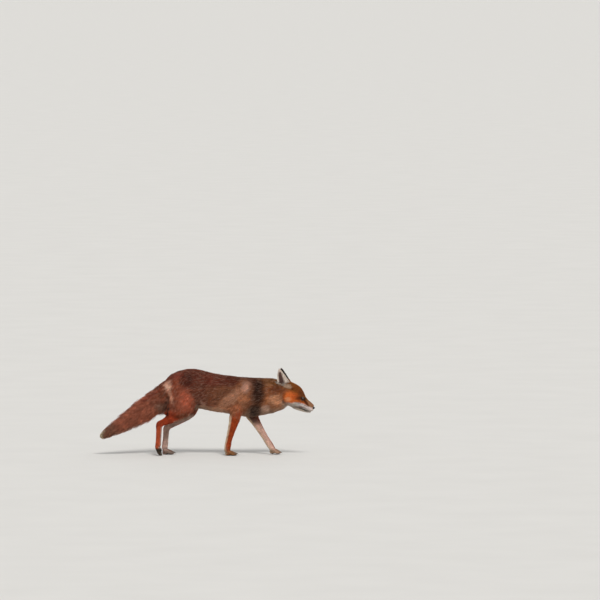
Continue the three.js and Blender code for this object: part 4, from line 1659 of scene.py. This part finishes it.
def paths(start, normal, heading, length, depth, stations, allowance, region):
    """Places and normals of each lock's rings: stepped along, then set to their heights.

    Locks that are deep follow the skin's field. Very short ones are straight."""
    follow = smooth(1.6, 3.2, depth)[:, None] * (region not in ("ear", "paw"))
    flat = np.sqrt(np.maximum(length**2 - depth**2, (0.3 * length) ** 2))
    here, way = start, heading
    places, ups = [start - ROOT_SUNK * normal], [normal]
    for before, after in zip(stations, stations[1:]):
        rise = depth * (1 - (1 - after) ** 2)
        here = here + way * (flat * (after - before))[:, None]
        value = sample(OVER_SKIN, height_grid, here)
        up = unit(normal * (1 - follow) + unit(value[:, 1:]) * follow)
        off = np.where(follow > 0, np.clip(rise - value[:, 0], -12, 30)[:, None], 0)
        straight = start + heading * (flat * after)[:, None]
        here = (here + up * off) * follow + straight * (1 - follow)
        lifted = here + normal * (rise[:, None] * (1 - follow))
        if region == "brush":
            lifted = here = held_in_brush(here, allowance)
        elif region not in ("face", "ear", "paw"):
            edge = sample(OVER_OUTLINE, body_grid, lifted)
            over = np.clip(edge[:, 0] - allowance, 0, 20)[:, None]
            lifted = lifted - unit(edge[:, 1:]) * over
        way = unit(way - up * (way * up).sum(1, keepdims=True))
        lifted = np.concatenate([lifted[:, :2], np.maximum(lifted[:, 2:], LOWEST)], 1)
        places.append(lifted)
        ups.append(up)
    return np.stack(places, 1), np.stack(ups, 1)


print("a lock keeps", LOWEST, "mm over the floor")

# %% [markdown]
# ## A blade on each path
#
# Three corners make each ring of a lock: left, right and a low ridge. The ridge gives it a rounded
# back, and the last ring narrows to a point. Each lock is rolled a little about its own length, as
# no two hairs of a coat lie alike. All blades of a region are worked out at once.
# %% Blades
RIDGE = 0.62  # a lock's height beside half its width
LOWEST_CORNER = 0.3  # mm over the floor


def blades(places, ups, width, shares, roll):
    """Corners of all rings, and each blade's quads and triangles, all facing outward."""
    count, rings = places.shape[:2]
    along = unit(np.diff(places, axis=1, append=2 * places[:, -1:] - places[:, -2:-1]))
    side = unit(np.cross(along, ups))
    top = np.cross(side, along)
    cos, sin = np.cos(roll)[:, None, None], np.sin(roll)[:, None, None]
    side, top = side * cos + top * sin, top * cos - side * sin
    half = (width[:, None] * np.array(shares) / 2)[..., None]
    body = np.stack(
        [places - side * half, places + side * half, places + top * half * RIDGE], 2
    )[:, :-1]
    corners = np.concatenate([body.reshape(count, -1, 3), places[:, -1:]], 1)
    corners[..., 2] = np.maximum(corners[..., 2], LOWEST_CORNER)
    pattern = []
    for ring in range(rings - 2):
        left, right, ridge = 3 * ring, 3 * ring + 1, 3 * ring + 2
        pattern += [
            (right, right + 3, ridge + 3, ridge),
            (ridge, ridge + 3, left + 3, left),
            (left, left + 3, right + 3, right),
        ]
    tip, left = 3 * (rings - 1), 3 * (rings - 2)
    ends = [(left + 1, tip, left + 2), (left + 2, tip, left), (left, tip, left + 1), (0, 1, 2)]
    first = (np.arange(count) * (tip + 1))[:, None, None]
    quads = (np.array(pattern)[None] + first).reshape(-1, 4)
    triangles = (np.array(ends)[None] + first).reshape(-1, 3)
    return corners, quads, triangles


print("a lock's ridge is", RIDGE, "of half its width")

# %% [markdown]
# ## Colours of a lock
#
# A lock takes the markings under its outer half, as that is the part that shows. It is darker at
# its root, where light doesn't reach, and lighter at its tip. Neighbours differ a little, clumps of
# them more, and some are grey or dark-tipped, which gives the grizzle of a real back.
# %% Colours of a lock
GREY_SHARE, DARK_SHARE = 0.2, 0.12  # of the locks on the back and sides
OWN_SHADE = 0.13  # how much one lock is lighter or darker than the next


def lock_colours(places, start, normal, region, stations):
    """Markings under its outer half, darker at the root, lighter at the tip, no two alike."""
    count = len(places)
    outer = markings(places[:, -2] * 0.7 + places[:, -1] * 0.3, normal)
    inner = markings(start, normal) if len(stations) > 3 else outer
    share = np.clip(np.array(stations) * 2, 0, 1)[None, :, None]
    base = inner[:, None] * (1 - share) + outer[:, None] * share
    shade = np.interp(stations, [0, 0.35, 0.8, 1], [0.7, 0.95, 1.1, 1.15])
    clumps = waves(start, 26, 31) + 0.7 * waves(start, 11, 32)
    uneven = np.select([region == "brush", np.isin(region, ["face", "paw"])], [0.17, 0.03], 0.1)
    own = np.exp(rng.normal(0, OWN_SHADE, count) + clumps * uneven)
    warm = rng.normal(0, 0.05, count)
    tint = np.stack([1 + warm, np.ones(count), 1 - warm], 1) * own[:, None]
    colours = base * tint[:, None] * shade[None, :, None]
    grey = np.isin(region, ["flank", "rump", "shoulder", "haunch", "neck"])
    grey &= rng.random(count) < GREY_SHARE
    pale = linear("#c9a893")
    greying = np.interp(stations, [0, 0.5, 0.8, 1], [0, 0.1, 0.5, 0.3])
    for ring, strength in enumerate(greying):
        colours[grey, ring] += (pale - colours[grey, ring]) * strength
    dark = np.isin(region, ["flank", "rump", "neck"]) & (rng.random(count) < DARK_SHARE) & ~grey
    colours[dark, -2:] *= 0.55
    return np.clip(colours, 0.002, 1)


print("locks differ by about", round(100 * OWN_SHADE), "percent")

# %% [markdown]
# ## Pieces of the coat
#
# The locks are joined into two dozen pieces, one for each region and side. The map named OFBake
# gives every lock a small patch of its own. All roots are ranked along the region's axis in strips,
# and within a strip by the angle round the body. So neighbours on the body are near one another on
# the map and no two patches share a place. Unwrapping every blade would scatter them instead.
# %% Unrolled places
# the way along which a region is unrolled, where it isn't straight along the body
REGION_AXES = {
    "ear": (-0.5, 0, 0.86),
    "foreleg": (0, 0, 1),
    "hindleg": (0, 0, 1),
    "brush": (0.82, 0, 0.57),
}


def unrolled(points, region):
    """Each root's place on a square: strips by rank along the axis, then rank by angle."""
    axis = unit(np.array(REGION_AXES.get(region, (1, 0, 0)), float))
    along = points @ axis
    gap = points - along[:, None] * axis
    strips = max(1, int(np.sqrt(len(points))))
    per_strip = int(np.ceil(len(points) / strips))
    by_length = np.argsort(along, kind="stable")
    place = np.empty((len(points), 2))
    for strip in range(strips):
        members = by_length[strip * per_strip : (strip + 1) * per_strip]
        if not len(members):
            continue
        middle = gap[members].mean(0)
        second = unit(np.cross(axis, (0, 1.0, 0.0)))
        across = (gap[members] - middle) @ np.array([0, 1.0, 0])
        height = (gap[members] - middle) @ second
        order = np.argsort(np.arctan2(height, across), kind="stable")
        rank = np.empty(len(members))
        rank[order] = (np.arange(len(members)) + 0.5) / per_strip
        place[members, 0] = (strip + 0.5) / strips
        place[members, 1] = rank
    return 0.005 + 0.985 * place


PATCH = 0.003  # a lock's patch as a share of the map


def bake_patch(root_place, stations):
    """A small square for each lock: left to right across it, root to tip up it."""
    rings = len(stations) - 1
    x = np.append(np.tile([0, 1, 0.5], rings), 0.5)
    y = np.append(np.repeat(np.array(stations[:-1]) * 0.85, 3), 1.0)
    y[2:-1:3] += 0.12
    patch = (np.stack([x, y], 1) * PATCH) - PATCH / 2
    return root_place[:, None] + patch[None]


print("a patch is", np.ptp(bake_patch(np.zeros((1, 2)), (0, 1)), 1).round(4), "of the map")

# %% [markdown]
# ## Growing the coat
#
# Each region and side is one piece, of locks with four rings, or three where the hair is short.
# Particle hair would be quicker to make, but solid locks stay the same in any program.
# %% Grow the coat
# a lock's rings: how far along it they are, and their width as a share of its full width
LONG = ((0, 0.3, 0.68, 1), (0.8, 1.0, 0.66, 0))
SHORT = ((0, 0.5, 1), (1.0, 0.85, 0))
SHORT_HAIRED = ("face", "ear", "foreleg", "hindleg", "paw")


def grow(region, side):
    """All the locks of a region on one side, as one joined piece."""
    chosen = (root_region == region) & ((root[:, 1] > 0) == (side > 0))
    stations, shares = SHORT if region in SHORT_HAIRED else LONG
    count = chosen.sum()
    allowance = rng.random(count) ** 2 * (3.5 if region == "brush" else 2.5)
    start, normal = root[chosen], root_normal[chosen]
    lie = heading[chosen], lock_length[chosen], lock_depth[chosen]
    places, ups = paths(start, normal, *lie, stations, allowance, region)
    width = LOCKS[region][1] * rng.uniform(0.75, 1.2, count) * 1
    corners, quads, triangles = blades(places, ups, width, shares, rng.normal(0, 0.4, count))
    colours = lock_colours(places, start, normal, root_region[chosen], stations)
    per_corner = np.concatenate([np.repeat(colours[:, :-1], 3, axis=1), colours[:, -1:]], 1)
    name = f"coat_{region}_{'left' if side > 0 else 'right'}"
    piece = make_mesh(name, corners.reshape(-1, 3) * MM, [quads, triangles])
    paint(piece, per_corner.reshape(-1, 3))
    corner_uv = bake_patch(unrolled(start, region), stations).reshape(-1, 2)
    loops = np.empty(len(piece.data.loops), np.int32)
    piece.data.loops.foreach_get("vertex_index", loops)
    layer = piece.data.uv_layers.new(name="OFBake")
    layer.data.foreach_set("uv", corner_uv[loops].astype(np.float32).ravel())
    piece.data.materials.append(HAIR)
    return 2 * len(quads) + len(triangles)


total = 0
for region in LOCKS:
    for side in (1, -1):
        made = grow(region, side)
        total += made
        print(region, side, made, "triangles")
print("coat", total, "triangles")

# %% [markdown]
# ## Whiskers
#
# Stiff black whiskers stand in rows on the upper lip and sweep back. They are tapering tubes, two
# thirds of a millimetre thick at the root, which is a little more than real ones so that they show,
# and they droop along a parabola.
# %% Whiskers
WHISKER_ROWS, WHISKERS_IN_ROW = 3, 4


def whiskers(side):
    """Tubes on parabolas from the whisker pad, outward and back."""
    made = []
    for row in range(WHISKER_ROWS):
        for place in range(WHISKERS_IN_ROW):
            start = np.array([-20.0 - 6 * place, side * (10.5 + 0.75 * place), -6.0 - 4.2 * row])
            reach = 26 + 7 * place - 3 * row
            out = unit(np.array([-0.55 - 0.1 * place, side * 0.8, 0.15 - 0.25 * row]))
            t = np.linspace(0, 1, 9)[:, None]
            path = start + out * reach * t + np.array([-7, -side * 3, -6]) * t**2
            radii = (0.34 - 0.24 * t[:, 0]) * MM
            made.append(tube(head_to_frame(path) * MM, radii, 5, (0.0, 0.0, 1.0)))
    return made


whisker_thing = make_mesh("whiskers", *joined(whiskers(1) + whiskers(-1)))
# Whisker keratin: one thick stiff hair each, black and rather glossy.
BRISTLE = new_material("whisker_keratin", two_tones("#14100d", "#2b221b", 1.2), Roughness=0.3)
whisker_thing.data.materials.append(BRISTLE)
print("whiskers with", open_edges(whisker_thing), "open edges")

# %% [markdown]
# ## Floor, light and camera
#
# The model stands on a plain pale floor that runs nearly to the horizon, so it is also the ground
# of every other view. A broad soft sun from the camera's side stands for a studio's big lamp, and a
# pale world fills the shadows. Area lamps would do too, but a sun has no place or size to work out.
# %% Floor and lights
FLOOR_REACH = 900  # m each way
floor_corners = np.array([[-1, -1, 0], [1, -1, 0], [1, 1, 0], [-1, 1, 0]]) * FLOOR_REACH
floor = make_mesh("floor", floor_corners, [np.array([[0, 1, 2, 3]])])
# Painted board: smooth and matt, hardly mottled.
BOARD = new_material(
    "painted_floor",
    two_tones("#cfccc6", "#d6d3cd", 330.0),
    **{"Roughness": 0.8, "Specular IOR Level": 0.2},
)
floor.data.materials.append(BOARD)
floor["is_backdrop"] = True

sun_data = bpy.data.lights.new("broad_lamp", "SUN")
sun_data.energy = 2.3
sun_data.angle = np.radians(18)
sun = bpy.data.objects.new("broad_lamp", sun_data)
sun.rotation_euler = (np.radians(44), 0, np.radians(16))
bpy.context.scene.collection.objects.link(sun)

world = bpy.data.worlds.new("pale_room")
world.use_nodes = True
backdrop = world.node_tree.nodes["Background"]
backdrop.inputs["Color"].default_value = coloured("#e9ebee")
backdrop.inputs["Strength"].default_value = 0.75
bpy.context.scene.world = world
print("floor", 2 * FLOOR_REACH, "m wide, lamp", round(sun_data.energy, 1), "watts a square metre")

# %% [markdown]
# ## The camera
#
# A camera thirty metres off, with a lens to match, sees the fox from its right side with hardly any
# perspective. It is lifted three degrees, so it looks slightly down on the back and the floor.
# %% Camera
camera_data = bpy.data.cameras.new("camera")
camera = bpy.data.objects.new("camera", camera_data)
bpy.context.scene.collection.objects.link(camera)
DISTANCE, LIFT = 30.0, np.radians(3)
SENSOR = 36  # mm
VIEW_WIDTH = 2.76  # m across the view at the fox's distance
camera_data.sensor_width = SENSOR
camera_data.lens = SENSOR * DISTANCE / VIEW_WIDTH
camera_data.clip_end = 3000
camera.location = (0.432, -DISTANCE * np.cos(LIFT), 0.715 + DISTANCE * np.sin(LIFT))
camera.rotation_euler = (np.pi / 2 - LIFT, 0, 0)
bpy.context.scene.camera = camera
bpy.context.scene.view_settings.view_transform = "Standard"
print("lens", round(camera_data.lens), "mm")

# %% [markdown]
# ## Sizes and the end
#
# The solids' box and the finished model's box are set side by side, and how far the model stands
# out of the solids' box along each axis is printed, in millimetres. A coat may stand a few
# millimetres out of the solids, no more, and the difference is printed.
# %% Sizes and the end
low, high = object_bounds()
over = [round(1000 * max(a - b, c - d), 1) for a, b, c, d in zip(cad_low, low, high, cad_high)]
print("visual outside the solids' box by at most, mm:", over)
